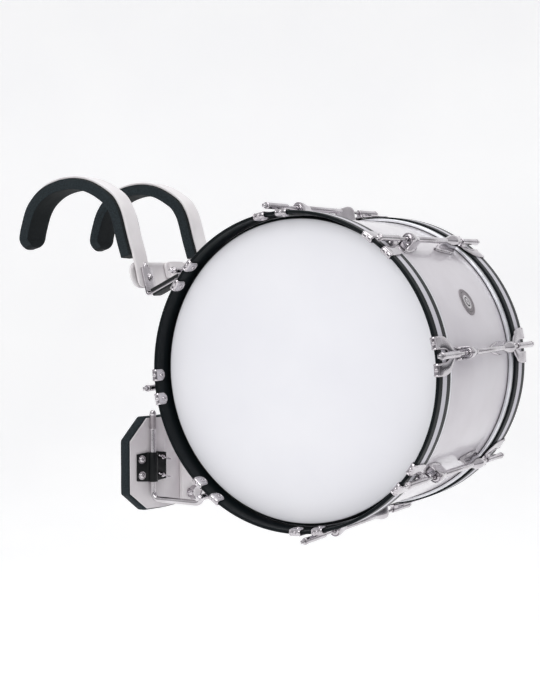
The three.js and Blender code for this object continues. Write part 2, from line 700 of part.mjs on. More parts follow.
// The clamp's section, as [along the wing, off the wing] from the rod's seat.
const clampSection = [
  [-half(CLAMP_WIDTH), GAP],
  [-ridgeBore, GAP],
  ...arc(0, ROD_SEAT, ridgeBore, 180, 0, 2 * ARC_STEPS),
  [ridgeBore, GAP],
  [half(CLAMP_WIDTH), GAP],
  [half(CLAMP_WIDTH), clampTop],
  ...arc(0, ROD_SEAT, CLAMP_RIDGE_RADIUS, -ridgeDeg, half(TURN_DEG) + ridgeDeg, 2 * ARC_STEPS),
  [-half(CLAMP_WIDTH), clampTop],
].map(([along, off]) => [
  seatX + along * alongWing[0] + off * offWing[0],
  seatY + along * alongWing[1] + off * offWing[1],
]);
leftAndRight(
  "rod_clamp",
  acrossZ(clampSection, clampMiddle - half(CLAMP_HEIGHT), clampMiddle + half(CLAMP_HEIGHT)),
  blackPaint,
);

// A support rod: down through its clamp, forward under the drum, then up to the shell with a rubber tip.
const CAP_RISE = 13;
const CAP_RADIUS = 6.5;
const CAP_HEIGHT = 4;
const SLEEVE_RADIUS = 6.1;
const SLEEVE_HEIGHT = 30;
const SUPPORT_BEND_RADIUS = 14;
const SUPPORT_RISE = 20;
const LEG_RISE_DEG = 68;
const CONTACT_ANGLE_DEG = 221.5;
const TIP_RADIUS = 9;
const TIP_LENGTH = 46;
const TIP_CLEARANCE = 0.6;
// The edge of the tip's end is what meets the shell, at the contact angle from the drum's centre.
const [contactX, contactZ] = arc(
  -heldX, -heldZ, SHELL_OUTER_RADIUS + TIP_CLEARANCE, CONTACT_ANGLE_DEG, CONTACT_ANGLE_DEG, 1,
)[0];
const upLeg = [Math.cos(radians(LEG_RISE_DEG)), Math.sin(radians(LEG_RISE_DEG))];
const onLeg = (fromTip) => [
  contactX - upLeg[1] * TIP_RADIUS - upLeg[0] * fromTip,
  contactZ + upLeg[0] * TIP_RADIUS - upLeg[1] * fromTip,
];
const cornerZ = bellyBottom + SUPPORT_RISE;
const [cornerX] = onLeg((onLeg(0)[1] - cornerZ) / upLeg[1]);
const bendInset = SUPPORT_BEND_RADIUS * Math.tan(radians(half(LEG_RISE_DEG)));
const bendZ = cornerZ + SUPPORT_BEND_RADIUS;
const capTop = BELLY_TOP + CAP_RISE;
const supportLine = [
  [rodX, capTop],
  ...arc(rodX + SUPPORT_BEND_RADIUS, bendZ, SUPPORT_BEND_RADIUS, 180, 270),
  ...arc(cornerX - bendInset, bendZ, SUPPORT_BEND_RADIUS, -90, LEG_RISE_DEG - 90),
  onLeg(half(TIP_LENGTH)),
];
leftAndRight(
  "support_rod",
  join(
    bentRod(supportLine, SUPPORT_ROD_RADIUS, rodY),
    bentRod([onLeg(TIP_LENGTH), onLeg(0)], TIP_RADIUS, rodY),
    roundBarAlongZ(CAP_RADIUS, rodX, rodY, capTop - CAP_HEIGHT, capTop),
    roundBarAlongZ(SLEEVE_RADIUS, rodX, rodY, capTop - SLEEVE_HEIGHT, capTop - half(CAP_HEIGHT)),
  ),
  chrome,
);

// A drum hook: a flat bar down the front of the bar's foot, then up and under a key rod of the top lug.
const HOOK_WIDTH = 34;
const HOOK_THICKNESS = 5;
const HOOK_INSET = 7;
const HOOK_LEG_HEIGHT = 38;
const HOOK_ARM_RISE_DEG = 25.8;
const HOOK_ARM_START_SIZES = [-125, -49];
const FINGER_MARGIN = 6;
const FINGER_THICKNESS = 8;
const FINGER_REACH = 44;
const CROSS_LENGTH = 14;
const FINGER_GAP = 0.35;
const LIP_START = 5;
const LIP_LENGTH = 5;
const LIP_HEIGHT = 2.4;
const hookY = rightShoulderY + HOOK_INSET;
const fingerTop = -ROD_RADIUS - FINGER_GAP;
const fingerMiddle = fingerTop - half(FINGER_THICKNESS);
const hookOut = GAP + BAR_THICKNESS + GAP + half(HOOK_THICKNESS);
const [armX, armZ] = HOOK_ARM_START_SIZES;
const armRun = (fingerMiddle - armZ) / Math.tan(radians(HOOK_ARM_RISE_DEG));
const crest = [armX + armRun, fingerMiddle];
const hookLine = [onFoot(HOOK_LEG_HEIGHT, hookOut), onFoot(0, hookOut), [armX, armZ], crest];
const fingerOutside = FINGER_MARGIN - clawTubeBack;
const fingerInside = -legReach - FINGER_MARGIN;
const fingerEnd = LIP_START + LIP_LENGTH;
const fingerOutline = [
  [-FINGER_REACH, fingerTop - FINGER_THICKNESS],
  [fingerEnd, fingerTop - FINGER_THICKNESS],
  [fingerEnd, fingerTop + LIP_HEIGHT],
  [fingerEnd - half(LIP_LENGTH), fingerTop + LIP_HEIGHT],
  [fingerEnd - LIP_LENGTH, fingerTop],
  [-FINGER_REACH, fingerTop],
];
leftAndRight(
  "drum_hook",
  join(
    acrossY(strip(hookLine, -half(HOOK_THICKNESS), half(HOOK_THICKNESS)), HOOK_WIDTH, hookY),
    acrossY(fingerOutline, fingerInside - fingerOutside, half(fingerInside + fingerOutside)),
    box(-FINGER_REACH, CROSS_LENGTH - FINGER_REACH, fingerOutside, hookY, fingerTop - FINGER_THICKNESS, fingerTop),
  ),
  chrome,
);

// The origin is on the shoulders: under the arches' highest points, halfway between the pads.
const [restX, archTop] = ARCH_LINE_SIZES[half(ARCH_LINE_SIZES.length - 1)];
const part = new THREE.Group();
part.add(drum, carrier);
part.position.set(-heldX - restX, 0, PAD_THICKNESS - heldZ - archTop);
export default part;
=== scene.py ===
# %% [markdown]
# # A marching bass drum on its shoulder carrier
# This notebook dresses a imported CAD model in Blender. The CAD gives every place and size, so the pieces
# made here are written in the same frame: +Z is up, +X is the way the player faces, and the drum's axis
# runs along Y with the front head at -Y. Sizes are in millimetres until a mesh is finished.

# %% Load the frame
import bpy
import bmesh
import math
from mathutils import Matrix, Vector
from mathutils import noise as blender_noise


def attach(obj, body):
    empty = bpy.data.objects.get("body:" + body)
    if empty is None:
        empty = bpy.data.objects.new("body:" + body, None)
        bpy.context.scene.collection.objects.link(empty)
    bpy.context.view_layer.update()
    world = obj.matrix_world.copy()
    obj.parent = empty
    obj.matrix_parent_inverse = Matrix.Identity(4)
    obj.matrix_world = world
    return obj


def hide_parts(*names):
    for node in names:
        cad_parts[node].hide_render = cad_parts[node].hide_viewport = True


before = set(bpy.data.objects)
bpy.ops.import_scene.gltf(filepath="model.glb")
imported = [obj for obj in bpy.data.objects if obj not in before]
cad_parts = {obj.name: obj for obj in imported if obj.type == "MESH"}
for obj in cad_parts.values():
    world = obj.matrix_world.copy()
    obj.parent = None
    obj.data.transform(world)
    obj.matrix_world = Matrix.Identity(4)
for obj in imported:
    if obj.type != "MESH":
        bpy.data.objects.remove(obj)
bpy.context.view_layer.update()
MM = 0.001
DRUM_CENTRE = Vector((535.799, 0, -342.637))     # the drum's centre, from the shoulders
CARRIER_PLACE = Vector((297.0, 0, -159.4))       # the hooked key rods, from which the carrier is drawn

# %% [markdown]
# ## The camera
# The photograph was taken from in front of the drum and to the player's left, a little above its middle.
# A long lens keeps the hoops nearly round. The lens is set against the taller side of the picture.

# %% Camera
LENS, SENSOR, FAR_CLIP = 71.34, 36.0, 50.0
EYE = (1.7304, -2.3782, -0.1604)
LOOK = Vector((-0.49406, 0.86754, -0.05704))


def linked(name, data):
    """A new object in the scene."""
    thing = bpy.data.objects.new(name, data)
    bpy.context.scene.collection.objects.link(thing)
    return thing


camera_data = bpy.data.cameras.new("camera")
camera_data.sensor_fit = "VERTICAL"
camera_data.sensor_height, camera_data.lens, camera_data.clip_end = SENSOR, LENS, FAR_CLIP
camera = linked("camera", camera_data)
camera.location = EYE
camera.rotation_euler = LOOK.to_track_quat("-Z", "Y").to_euler()
bpy.context.scene.camera = camera
print("camera at", tuple(camera.location))

# %% [markdown]
# ## Small helpers
# Blender's colours are linear, and the colours given here are sRGB, so one function turns a hex value.
# Another one adds a node with its settings and its links, which keeps each material short.

# %% Colour and node helpers
def linear(hex_colour):
    """An sRGB hex colour as linear RGBA."""
    channels = [int(hex_colour[i:i + 2], 16) / 255 for i in (1, 3, 5)]
    return [c / 12.92 if c < 0.04045 else ((c + 0.055) / 1.055) ** 2.4 for c in channels] + [1.0]


def add(tree, kind, settings=None, **links):
    """Adds a node. A link's value is a socket, or a plain value for that input."""
    node = tree.nodes.new(kind)
    for key, value in (settings or {}).items():
        setattr(node, key, value)
    for key, value in links.items():
        numbered = key[0] == "i" and key[1:].isdigit()
        socket = node.inputs[int(key[1:]) if numbered else key.replace("_", " ")]
        if isinstance(value, bpy.types.NodeSocket):
            tree.links.new(value, socket)
        else:
            socket.default_value = value
    return node


def maths(tree, operation, *values, kind="ShaderNodeMath"):
    """A Math node's result. The values are sockets or numbers."""
    links = {f"i{n}": value for n, value in enumerate(values)}
    return add(tree, kind, {"operation": operation}, **links).outputs[0]


def from_drum_axis(tree, place):
    """The distance from the drum's axis, in metres."""
    kind = "ShaderNodeVectorMath"
    offset = maths(tree, "SUBTRACT", place, DRUM_CENTRE * MM, kind=kind)
    flat = maths(tree, "MULTIPLY", offset, (1, 0, 1), kind=kind)
    return add(tree, kind, {"operation": "LENGTH"}, i0=flat).outputs["Value"]


def blended(tree, factor, *colours):
    """A colour between two. Each is a hex colour or a socket."""
    mix = add(tree, "ShaderNodeMix", {"data_type": "RGBA"}, Factor=factor)
    for socket, colour in zip(mix.inputs[6:8], colours):
        if isinstance(colour, str):
            socket.default_value = linear(colour)
        else:
            tree.links.new(colour, socket)
    return mix.outputs[2]


# %% Material helpers
def finish_named(name, **shader):
    """A material with its Principled BSDF's plain values set, and its object coordinates ready."""
    material = bpy.data.materials.new(name)
    material.use_nodes = True
    tree = material.node_tree
    surface = tree.nodes["Principled BSDF"]
    for key, value in shader.items():
        surface.inputs[key.replace("_", " ")].default_value = value
    place = add(tree, "ShaderNodeTexCoord").outputs["Object"]
    return material, tree, surface, place


def noise_of(tree, place, size_mm, detail):
    """Noise with patches of about size_mm."""
    return add(tree, "ShaderNodeTexNoise", Vector=place, Scale=1000 / size_mm, Detail=detail).outputs["Fac"]


def mottle(tree, place, surface, dark, light, size_mm, detail=3.0, low=0.35, high=0.65):
    """Base colour that drifts between two near shades."""
    ramp = add(tree, "ShaderNodeValToRGB", Fac=noise_of(tree, place, size_mm, detail))
    for stop, position, shade in zip(ramp.color_ramp.elements, (low, high), (dark, light)):
        stop.position, stop.color = position, linear(shade)
    tree.links.new(ramp.outputs["Color"], surface.inputs["Base Color"])
    return ramp.outputs["Color"]


def roughen(tree, place, surface, low, high, size_mm):
    """Roughness that varies like handling marks."""
    noise = noise_of(tree, place, size_mm, 4.0)
    spread = add(tree, "ShaderNodeMapRange", Value=noise, To_Min=low, To_Max=high)
    tree.links.new(spread.outputs["Result"], surface.inputs["Roughness"])


def bump(tree, surface, height, strength, depth_mm):
    """Puts a height into the surface's normal."""
    made = add(tree, "ShaderNodeBump", Strength=strength, Distance=depth_mm * MM, Height=height)
    tree.links.new(made.outputs["Normal"], surface.inputs["Normal"])


def relief(tree, place, surface, size_mm, detail, strength, depth_mm):
    """A bump made of noise."""
    bump(tree, surface, noise_of(tree, place, size_mm, detail), strength, depth_mm)


def finish(name, colour, rough=(), grain=(), **shader):
    """A material from mottle's, roughen's and relief's own values, and plain values for the rest."""
    material, tree, surface, place = finish_named(name, **shader)
    for pattern, values in ((mottle, colour), (roughen, rough), (relief, grain)):
        if values:
            pattern(tree, place, surface, *values)
    return material


print("helpers ready")

# %% [markdown]
# ## The finishes
# Each material starts from what the real one is. The patterns read object coordinates, in metres, so a
# scale of 1000 / size is a pattern of that size in millimetres.

# %% White wrap and drum film
# White plastic wrap on a wooden shell: a glossy calendered sheet, with a faint orange peel.
white_wrap = finish("white_pvc_wrap", ("#cdc8ce", "#d5d1d7", 120), grain=(6, 2.0, 0.05, 0.2),
                    Roughness=0.24, IOR=1.5, Coat_Weight=0.35, Coat_Roughness=0.08)

# Polyester drumhead film with a fine frosting: white. Past the bearing edge, where it goes down under the hoop,
# it is painted near-black: painted shade of the deep gap there.
COLLAR_SHADE_FROM, COLLAR_SHADE_TO = 275.6 * MM, 276.2 * MM
drum_film, tree, surface, place = finish_named("coated_polyester_film", Roughness=0.42, IOR=1.57)
white = mottle(tree, place, surface, "#ebebf0", "#efeff3", 200)
# The painted shade: past the bearing edge's radius, the film's colour goes to near-black.
rim = add(tree, "ShaderNodeMapRange", Value=from_drum_axis(tree, place), From_Min=COLLAR_SHADE_FROM, From_Max=COLLAR_SHADE_TO)
tree.links.new(blended(tree, rim.outputs["Result"], white, "#1b2023"), surface.inputs["Base Color"])
relief(tree, place, surface, 1.5, 4.0, 0.08, 0.1)

# %% Hoop lacquer
STRIPE_Y, STRIPE_HALF, STRIPE_RADIUS = 189 * MM, 9.2 * MM, 288.5 * MM
GROOVE_MIDDLE, GROOVE_HALF = 9.4 * MM, 0.35 * MM


def hoop_lacquer(name, middle_y):
    """Lacquered maple: near-black with faint lines of grain, and an inlaid pearl-grey stripe."""
    material, tree, surface, place = finish_named(name, Roughness=0.34, IOR=1.45, Coat_Weight=0.03,
                                                  Coat_Roughness=0.08, Specular_IOR_Level=0.07)
    y = add(tree, "ShaderNodeSeparateXYZ", Vector=place).outputs["Y"]
    away = maths(tree, "ABSOLUTE", maths(tree, "SUBTRACT", y, middle_y))
    outside = maths(tree, "GREATER_THAN", from_drum_axis(tree, place), STRIPE_RADIUS)
    stripe = maths(tree, "MULTIPLY", maths(tree, "LESS_THAN", away, STRIPE_HALF), outside)
    groove = maths(tree, "MULTIPLY", maths(tree, "COMPARE", away, GROOVE_MIDDLE, GROOVE_HALF), outside)
    drawn_out = add(tree, "ShaderNodeMapping", Vector=place, Scale=(30, 900, 30)).outputs[0]
    grain = add(tree, "ShaderNodeTexNoise", Scale=1.0, Detail=5.0, Vector=drawn_out).outputs["Fac"]
    wood = blended(tree, grain, "#0d1113", "#161b1e")
    inlay = blended(tree, grain, "#c2c0c8", "#cfcdd4")
    tree.links.new(blended(tree, stripe, wood, inlay), surface.inputs["Base Color"])
    bump(tree, surface, maths(tree, "MULTIPLY", groove, -1.0), 0.6, 0.3)
    return material


front_lacquer = hoop_lacquer("black_lacquer_front_hoop", -STRIPE_Y)
back_lacquer = hoop_lacquer("black_lacquer_back_hoop", STRIPE_Y)

# %% Metals
# Die-cast zinc, chrome plated: a mirror with a slightly warm grey, clouded where it is touched.
chrome = finish("chrome_plated_zinc", ("#bab5b9", "#d1cdd1", 40), (0.06, 0.16, 30), (9, 2.0, 0.05, 0.25),
                Metallic=1.0, Roughness=0.14)

# Steel rods and screws, nickel plated: a little brighter and less even in its polish.
steel = finish("nickel_plated_steel", ("#bfbbbe", "#d5d2d5", 50), (0.1, 0.18, 35), Metallic=1.0, Roughness=0.2)

# The aluminium flesh hoop: light, nearly white, and soft in its polish.
polished_aluminium = finish("polished_aluminium", ("#d9dade", "#eeeff3", 40), (0.3, 0.4, 12), Metallic=0.7,
                            Roughness=0.34)

# Bead-blasted steel of the rods' top sleeves and the badge's field: darker and matt.
satin_steel = finish("bead_blasted_steel", ("#928c90", "#a29ca0", 20), Metallic=0.9, Roughness=0.45)


# %% Paints, foam and rubber
def powder_coat(name, dark, light, roughness, metal=0.0, shine=0.5):
    """Sprayed and baked coat: a fine orange peel under a soft gloss."""
    return finish(name, (dark, light, 60), (), (2.2, 3.0, 0.12, 0.12), Roughness=roughness, Metallic=metal,
                  IOR=1.5, Specular_IOR_Level=shine)


def foam_named(name, dark, light):
    """Closed-cell foam: matt charcoal with a skin of fine cells."""
    material, tree, surface, place = finish_named(name, Roughness=0.92, IOR=1.45, Sheen_Weight=0.03,
                                                  Specular_IOR_Level=0.25)
    mottle(tree, place, surface, dark, light, 3.0, 4.0, 0.3, 0.7)
    cells = add(tree, "ShaderNodeTexVoronoi", Vector=place, Scale=1000 / 1.6)
    bump(tree, surface, cells.outputs["Distance"], 0.35, 0.35)
    return material


white_enamel = powder_coat("white_enamel", "#e2dedf", "#ece9ea", 0.28)
grey_enamel = powder_coat("pale_grey_enamel", "#c9c4c7", "#d6d2d4", 0.36, 0.1)
black_enamel = powder_coat("black_enamel", "#07090b", "#0d1012", 0.42, 0.0, 0.2)
# The pads' side faces take a paler copy of the foam, and their other faces a darker one: painted light and
# shade on one foam.
foam = foam_named("closed_cell_foam", "#1b2124", "#2a3236")
pressed_foam = foam_named("pressed_foam", "#101416", "#191e20")

# Black moulded rubber for the rods' tips and the hooks' strips.
rubber = finish("black_rubber", ("#101315", "#1a1e20", 8), (), (0.9, 3.0, 0.2, 0.15), Roughness=0.62, IOR=1.52,
                Specular_IOR_Level=0.3)
print(len(bpy.data.materials), "materials")

# %% [markdown]
# ## Mesh helpers
# Most pieces of a drum are turned, swept along a line, or cut from sheet. Three helpers make these forms
# from points in millimetres: lathe, skin and plate.

# %% Outlines
NO_REACH, NEARLY_STRAIGHT = 1e-6, math.radians(178)


def arc(cx, cy, radius, start, end, steps=8):
    """Points on an arc, with its angles in degrees."""
    turns = [math.radians(start + (end - start) * i / steps) for i in range(steps + 1)]
    return [(cx + radius * math.cos(t), cy + radius * math.sin(t)) for t in turns]


def filleted(outline, radius, steps=4):
    """A closed outline with each corner rounded. radius is one number, or one for each corner."""
    radii = radius if isinstance(radius, list) else [radius] * len(outline)
    made = []
    for i, here in enumerate(outline):
        p, a, b = Vector(here), Vector(outline[i - 1]), Vector(outline[(i + 1) % len(outline)])
        into, out = a - p, b - p
        turn = into.angle(out)
        reach = min(radii[i] / math.tan(turn / 2), into.length * 0.49, out.length * 0.49) if radii[i] else 0
        if reach < NO_REACH or turn > NEARLY_STRAIGHT:
            made.append((p.x, p.y))
            continue
        into, out = into.normalized(), out.normalized()
        middle = p + (into + out).normalized() * (reach * math.tan(turn / 2) / math.sin(turn / 2))
        start, end = p + into * reach - middle, p + out * reach - middle
        swing = start.angle_signed(end)
        for k in range(steps + 1):
            t = -swing * k / steps
            made.append((middle.x + start.x * math.cos(t) - start.y * math.sin(t),
                         middle.y + start.x * math.sin(t) + start.y * math.cos(t)))
    return made


def rounded_rectangle(half_width, bottom, top, radius, steps=6):
    corners = [(half_width, bottom), (half_width, top), (-half_width, top), (-half_width, bottom)]
    return filleted(corners, radius, steps)


def headings(path):
    """The way ahead at each point of a path."""
    ends = path[:1] + path + path[-1:]
    return [(after - before).normalized() for before, after in zip(ends, ends[2:])]


# %% Lathe, skin and plate
def lathe(profile, segments, closed=True):
    """Turns [radius, y] points about Y. A radius of 0 becomes a pole."""
    bm = bmesh.new()
    rings = []
    for r, y in profile:
        angles = [math.tau * k / segments for k in range(segments)] if r else [0.0]
        rings.append([bm.verts.new((r * math.cos(a), y, r * math.sin(a))) for a in angles])
    pairs = list(zip(rings, rings[1:])) + ([(rings[-1], rings[0])] if closed else [])
    for one, two in pairs:
        for k in range(segments):
            n = (k + 1) % segments
            if len(one) == 1:
                bm.faces.new((one[0], two[k], two[n]))
            elif len(two) == 1:
                bm.faces.new((one[k], two[0], one[n]))
            else:
                bm.faces.new((one[k], two[k], two[n], one[n]))
    return bm


def skin(bm, sections, ring=True, caps=True):
    """Joins sections, lists of as many 3-D points each, by quads."""
    rows = [[bm.verts.new(p) for p in section] for section in sections]
    count = len(rows[0])
    for one, two in zip(rows, rows[1:]):
        for k in range(count if ring else count - 1):
            n = (k + 1) % count
            bm.faces.new((one[k], two[k], two[n], one[n]))
    if ring and caps:
        bm.faces.new(rows[0])
        bm.faces.new(list(reversed(rows[-1])))
    return rows


def plate(bm, outline, to_space, near, far, bevel):
    """A flat outline pushed from near to far, with its rims bevelled."""
    before = set(bm.faces)
    rows = [[bm.verts.new(to_space(a, b, d)) for a, b in outline] for d in (near, far)]
    count = len(outline)
    sides = [bm.faces.new((rows[0][k], rows[1][k], rows[1][(k + 1) % count], rows[0][(k + 1) % count]))
             for k in range(count)]
    caps = [bm.faces.new(rows[0]), bm.faces.new(list(reversed(rows[1])))]
    bmesh.ops.recalc_face_normals(bm, faces=sides + caps)
    bmesh.ops.bevel(bm, geom=[e for face in caps for e in face.edges], offset=bevel, segments=2,
                    profile=0.5, affect="EDGES", clamp_overlap=True)
    return [f for f in bm.faces if f not in before]


# %% Working on a bmesh
def outward(bm):
    """Turns the faces' normals outward."""
    bmesh.ops.recalc_face_normals(bm, faces=bm.faces)
    return bm


def transformed(bm, matrix):
    bmesh.ops.transform(bm, matrix=matrix, verts=bm.verts)
    return bm


def upright(bm):
    """Stands a turned form up: its axis goes from +Y to +Z."""
    return transformed(bm, Matrix.Rotation(math.radians(90), 4, "X"))


def shifted(bm, x=0.0, y=0.0, z=0.0):
    for v in bm.verts:
        v.co += Vector((x, y, z))
    return bm


def merged(bm, other):
    """Adds another bmesh to this one."""
    part = bpy.data.meshes.new("part")
    other.to_mesh(part)
    other.free()
    bm.from_mesh(part)
    bpy.data.meshes.remove(part)


def in_mm(mesh):
    """A finished mesh opened again, in millimetres."""
    bm = bmesh.new()
    bm.from_mesh(mesh)
    bmesh.ops.scale(bm, vec=(1000, 1000, 1000), verts=bm.verts)
    return bm


# %% Finishing a piece
def baked(thing):
    """Applies an object's modifiers and takes them off."""
    graph = bpy.context.evaluated_depsgraph_get()
    graph.update()
    mesh = bpy.data.meshes.new_from_object(thing.evaluated_get(graph), depsgraph=graph)
    thing.modifiers.clear()
    thing.data = mesh
    mesh.name = thing.name
    return thing


def subdivided(thing, levels=1):
    smooth = thing.modifiers.new("smooth", "SUBSURF")
    smooth.levels = smooth.render_levels = levels
    return baked(thing)


def shaded(thing, sharp):
    """Smooth shading, except over edges sharper than an angle in degrees."""
    thing.data.polygons.foreach_set("use_smooth", [True] * len(thing.data.polygons))
    thing.data.set_sharp_from_angle(angle=math.radians(sharp))
    return thing


def to_object(bm, name, offset=Vector((0, 0, 0)), levels=0, sharp=35, scale=MM, recalc=True):
    """The bmesh as an object at the origin, with its place in its mesh, in metres."""
    bmesh.ops.remove_doubles(bm, verts=bm.verts, dist=0.002)
    if recalc:
        outward(bm)
    for v in bm.verts:
        v.co = (v.co + offset) * scale
    mesh = bpy.data.meshes.new(name)
    bm.to_mesh(mesh)
    bm.free()
    thing = linked(name, mesh)
    if levels:
        subdivided(thing, levels)
    return shaded(thing, sharp)


def thickened(thing, wall_mm, offset, even):
    """A thin skin given a wall and smoothed, as a bmesh in millimetres."""
    wall = thing.modifiers.new("wall", "SOLIDIFY")
    wall.thickness, wall.offset, wall.use_even_offset = wall_mm * MM, offset, even
    bm = in_mm(subdivided(thing).data)
    thrown_away(thing)
    return bm


def thrown_away(thing):
    bpy.data.objects.remove(thing)


def painted(thing, materials, choose):
    """Gives each face the material whose number choose(face) returns."""
    for material in materials:
        thing.data.materials.append(material)
    for face in thing.data.polygons:
        face.material_index = choose(face)
    return thing


def hand_over(thing, body, material, nodes=()):
    """Gives a finished piece its material, its body and the CAD nodes that it stands for."""
    if not thing.data.materials:
        thing.data.materials.append(material)
    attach(thing, body)
    if nodes:
        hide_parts(*nodes)
    print(thing.name, len(thing.data.polygons), "faces on", body)


def piece(bm, name, body, material, slot, nodes=(), place=CARRIER_PLACE, **shape):
    """A bmesh made into an object and handed over in one step."""
    hand_over(to_object(bm, name, place, **shape), body, material, nodes)


# %% [markdown]
# ## Two Geometry Nodes trees
# What goes round the drum is drawn once, at angle 0, and a first tree turns copies of it to their
# stations. Screws and nuts are drawn once, standing on the origin, and a second tree sets them on points
# that carry the way to face. Both end in Realize Instances and Set Material, so the result is a mesh.

# %% Trees
def new_tree(name, **sockets):
    """A tree with a Geometry input and output, and an input for each socket named, as in First_Angle."""
    tree = bpy.data.node_groups.new(name, "GeometryNodeTree")
    tree.interface.new_socket("Geometry", in_out="OUTPUT", socket_type="NodeSocketGeometry")
    ids = {}
    for key, kind in {"Geometry": "Geometry", **sockets, "Place": "Vector", "Finish": "Material"}.items():
        label = key.replace("_", " ")
        socket = tree.interface.new_socket(label, in_out="INPUT", socket_type="NodeSocket" + kind)
        ids[label] = socket.identifier
    return tree, ids, add(tree, "NodeGroupInput").outputs


def end_tree(tree, given, points, rotation):
    """Sets the piece on the points, turns the copies into a mesh, moves it, and gives it its material."""
    source = add(tree, "GeometryNodeObjectInfo", Object=given["Piece"])
    placed = add(tree, "GeometryNodeInstanceOnPoints", Points=points, Instance=source.outputs["Geometry"],
                 Rotation=rotation)
    real = add(tree, "GeometryNodeRealizeInstances", Geometry=placed.outputs[0])
    moved = add(tree, "GeometryNodeTransform", Geometry=real.outputs[0], Translation=given["Place"])
    dressed = add(tree, "GeometryNodeSetMaterial", Geometry=moved.outputs[0], Material=given["Finish"])
    add(tree, "NodeGroupOutput", i0=dressed.outputs[0])


stations_tree, STATION_IDS, given = new_tree("stations_round_the_drum", Piece="Object", Count="Int",
                                             First_Angle="Float", Step_Angle="Float", Turn_Over="Float")
dots = add(stations_tree, "GeometryNodeMeshLine", Count=given["Count"], Offset=(0, 0, 0))
number = add(stations_tree, "GeometryNodeInputIndex")
swing = maths(stations_tree, "MULTIPLY_ADD", number.outputs[0], given["Step Angle"], given["First Angle"])
about_y = maths(stations_tree, "MULTIPLY", swing, -1.0)
turn = add(stations_tree, "ShaderNodeCombineXYZ", X=given["Turn Over"], Y=about_y)
end_tree(stations_tree, given, dots.outputs[0], turn.outputs[0])

seats_tree, SEAT_IDS, given = new_tree("fasteners_on_seats", Piece="Object")
facing = add(seats_tree, "GeometryNodeInputNamedAttribute", {"data_type": "FLOAT_VECTOR"}, Name="facing")
spin = add(seats_tree, "GeometryNodeInputNamedAttribute", {"data_type": "FLOAT"}, Name="spin")
aim = add(seats_tree, "FunctionNodeAlignRotationToVector", {"axis": "Z"}, Vector=facing.outputs[0])
twist = add(seats_tree, "ShaderNodeCombineXYZ", Z=spin.outputs[0])
turned = add(seats_tree, "FunctionNodeRotateRotation", {"rotation_space": "LOCAL"},
             Rotation=aim.outputs[0], Rotate_By=twist.outputs[0])
end_tree(seats_tree, given, given["Geometry"], turned.outputs[0])
print("trees:", stations_tree.name, seats_tree.name)

# %% Running the trees
LUGS = 8
FIRST_ANGLE, STEP_ANGLE = math.radians(97.5), -math.tau / LUGS


def run_tree(host, tree, ids, values):
    """Runs a tree on host, turns the result into host's own mesh, and takes the modifier off."""
    step = host.modifiers.new(tree.name, "NODES")
    step.node_group = tree
    for label, value in values.items():
        step[ids[label]] = value
    return baked(host)


def round_the_drum(name, piece, material, count=LUGS, first=FIRST_ANGLE, front=False):
    return run_tree(linked(name, bpy.data.meshes.new(name)), stations_tree, STATION_IDS, {
        "Piece": piece, "Count": count, "First Angle": first, "Step Angle": STEP_ANGLE,
        "Turn Over": math.pi if front else 0.0, "Place": DRUM_CENTRE * MM, "Finish": material})


def on_seats(name, piece, material, seats, place=CARRIER_PLACE):
    """seats are (position in mm, facing, spin in degrees)."""
    host = linked(name, bpy.data.meshes.new(name))
    host.data.from_pydata([p * MM for p, f, s in seats], [], [])
    host.data.attributes.new("facing", "FLOAT_VECTOR", "POINT").data.foreach_set(
        "vector", [c for p, f, s in seats for c in f])
    host.data.attributes.new("spin", "FLOAT", "POINT").data.foreach_set(
        "value", [math.radians(s) for p, f, s in seats])
    return run_tree(host, seats_tree, SEAT_IDS, {"Piece": piece, "Place": place * MM, "Finish": material})


# %% [markdown]
# ## The shell, the heads and the hoops
# A bass drum's shell is a tube of bent plies covered in a plastic wrap, with a bearing edge turned on
# each end. The film bends over that edge and runs down into a metal flesh hoop. The wooden counter hoop
# presses on the flesh hoop. All of these are turned forms, so each is a profile on the lathe.

# %% Shell
SHELL_RADIUS, SHELL_INSIDE, SHELL_END = 279.4, 272.4, 177.8
EDGE_CREST, EDGE_INSIDE, EDGE_OUTSIDE = 275.0, 175.2, 173.4
HOOP_IN, HOOP_OUT, HOOP_BACK, HOOP_FRONT = 284.0, 290.0, 162.0, 216.0
ROD_CIRCLE = 301.0
ROUND = 240        # the steps round a large turned piece
ENDS = (("front", -1), ("back", 1))


def turned_piece(name, node, profile, sign, material, slot, closed=True, **shape):
    """A turned piece of the drum. sign is -1 for the front end."""
    bm = lathe([(r, sign * y) for r, y in profile], ROUND, closed)
    piece(bm, name, "drum", material, slot, [node], DRUM_CENTRE, **shape)


half = [(SHELL_INSIDE, EDGE_INSIDE), (EDGE_CREST, SHELL_END), (SHELL_RADIUS, EDGE_OUTSIDE)]
profile = filleted([(r, -y) for r, y in half] + half[::-1], [0.8, 0.5, 2.5, 2.5, 0.5, 0.8])
turned_piece("drum_shell", "shell", profile, 1, white_wrap, "shell_wrap")

# %% Heads and flesh hoops
FILM = [(r, 179.1) for r in (0, 50, 100, 150, 190, 225, 250, 265)]
FILM += [(272.0, 179.05), (274.5, 178.8), (276.6, 178.1), (278.6, 176.4), (280.2, 174.4), (280.85, 173.0),
         (280.9, 168.0), (280.9, 148.5)]
FILM += [(279.95, 148.5), (279.95, 168.0), (279.9, 173.3), (275.0, 178.15), (265, 178.1), (190, 178.1),
         (100, 178.1), (0, 178.1)]
FLESH_HOOP = filleted([(280.95, 148.5), (286.4, 148.5), (286.4, 161.7), (280.95, 161.7)],
                      [0.6, 1.8, 2.2, 0.6], 5)
for side, sign in ENDS:
    turned_piece(f"{side}_drum_head", f"{side}_head", FILM, sign, drum_film, "head_film", False, sharp=50)
    turned_piece(f"{side}_flesh_hoop", f"{side}_head", FLESH_HOOP, sign, polished_aluminium, "head_film")

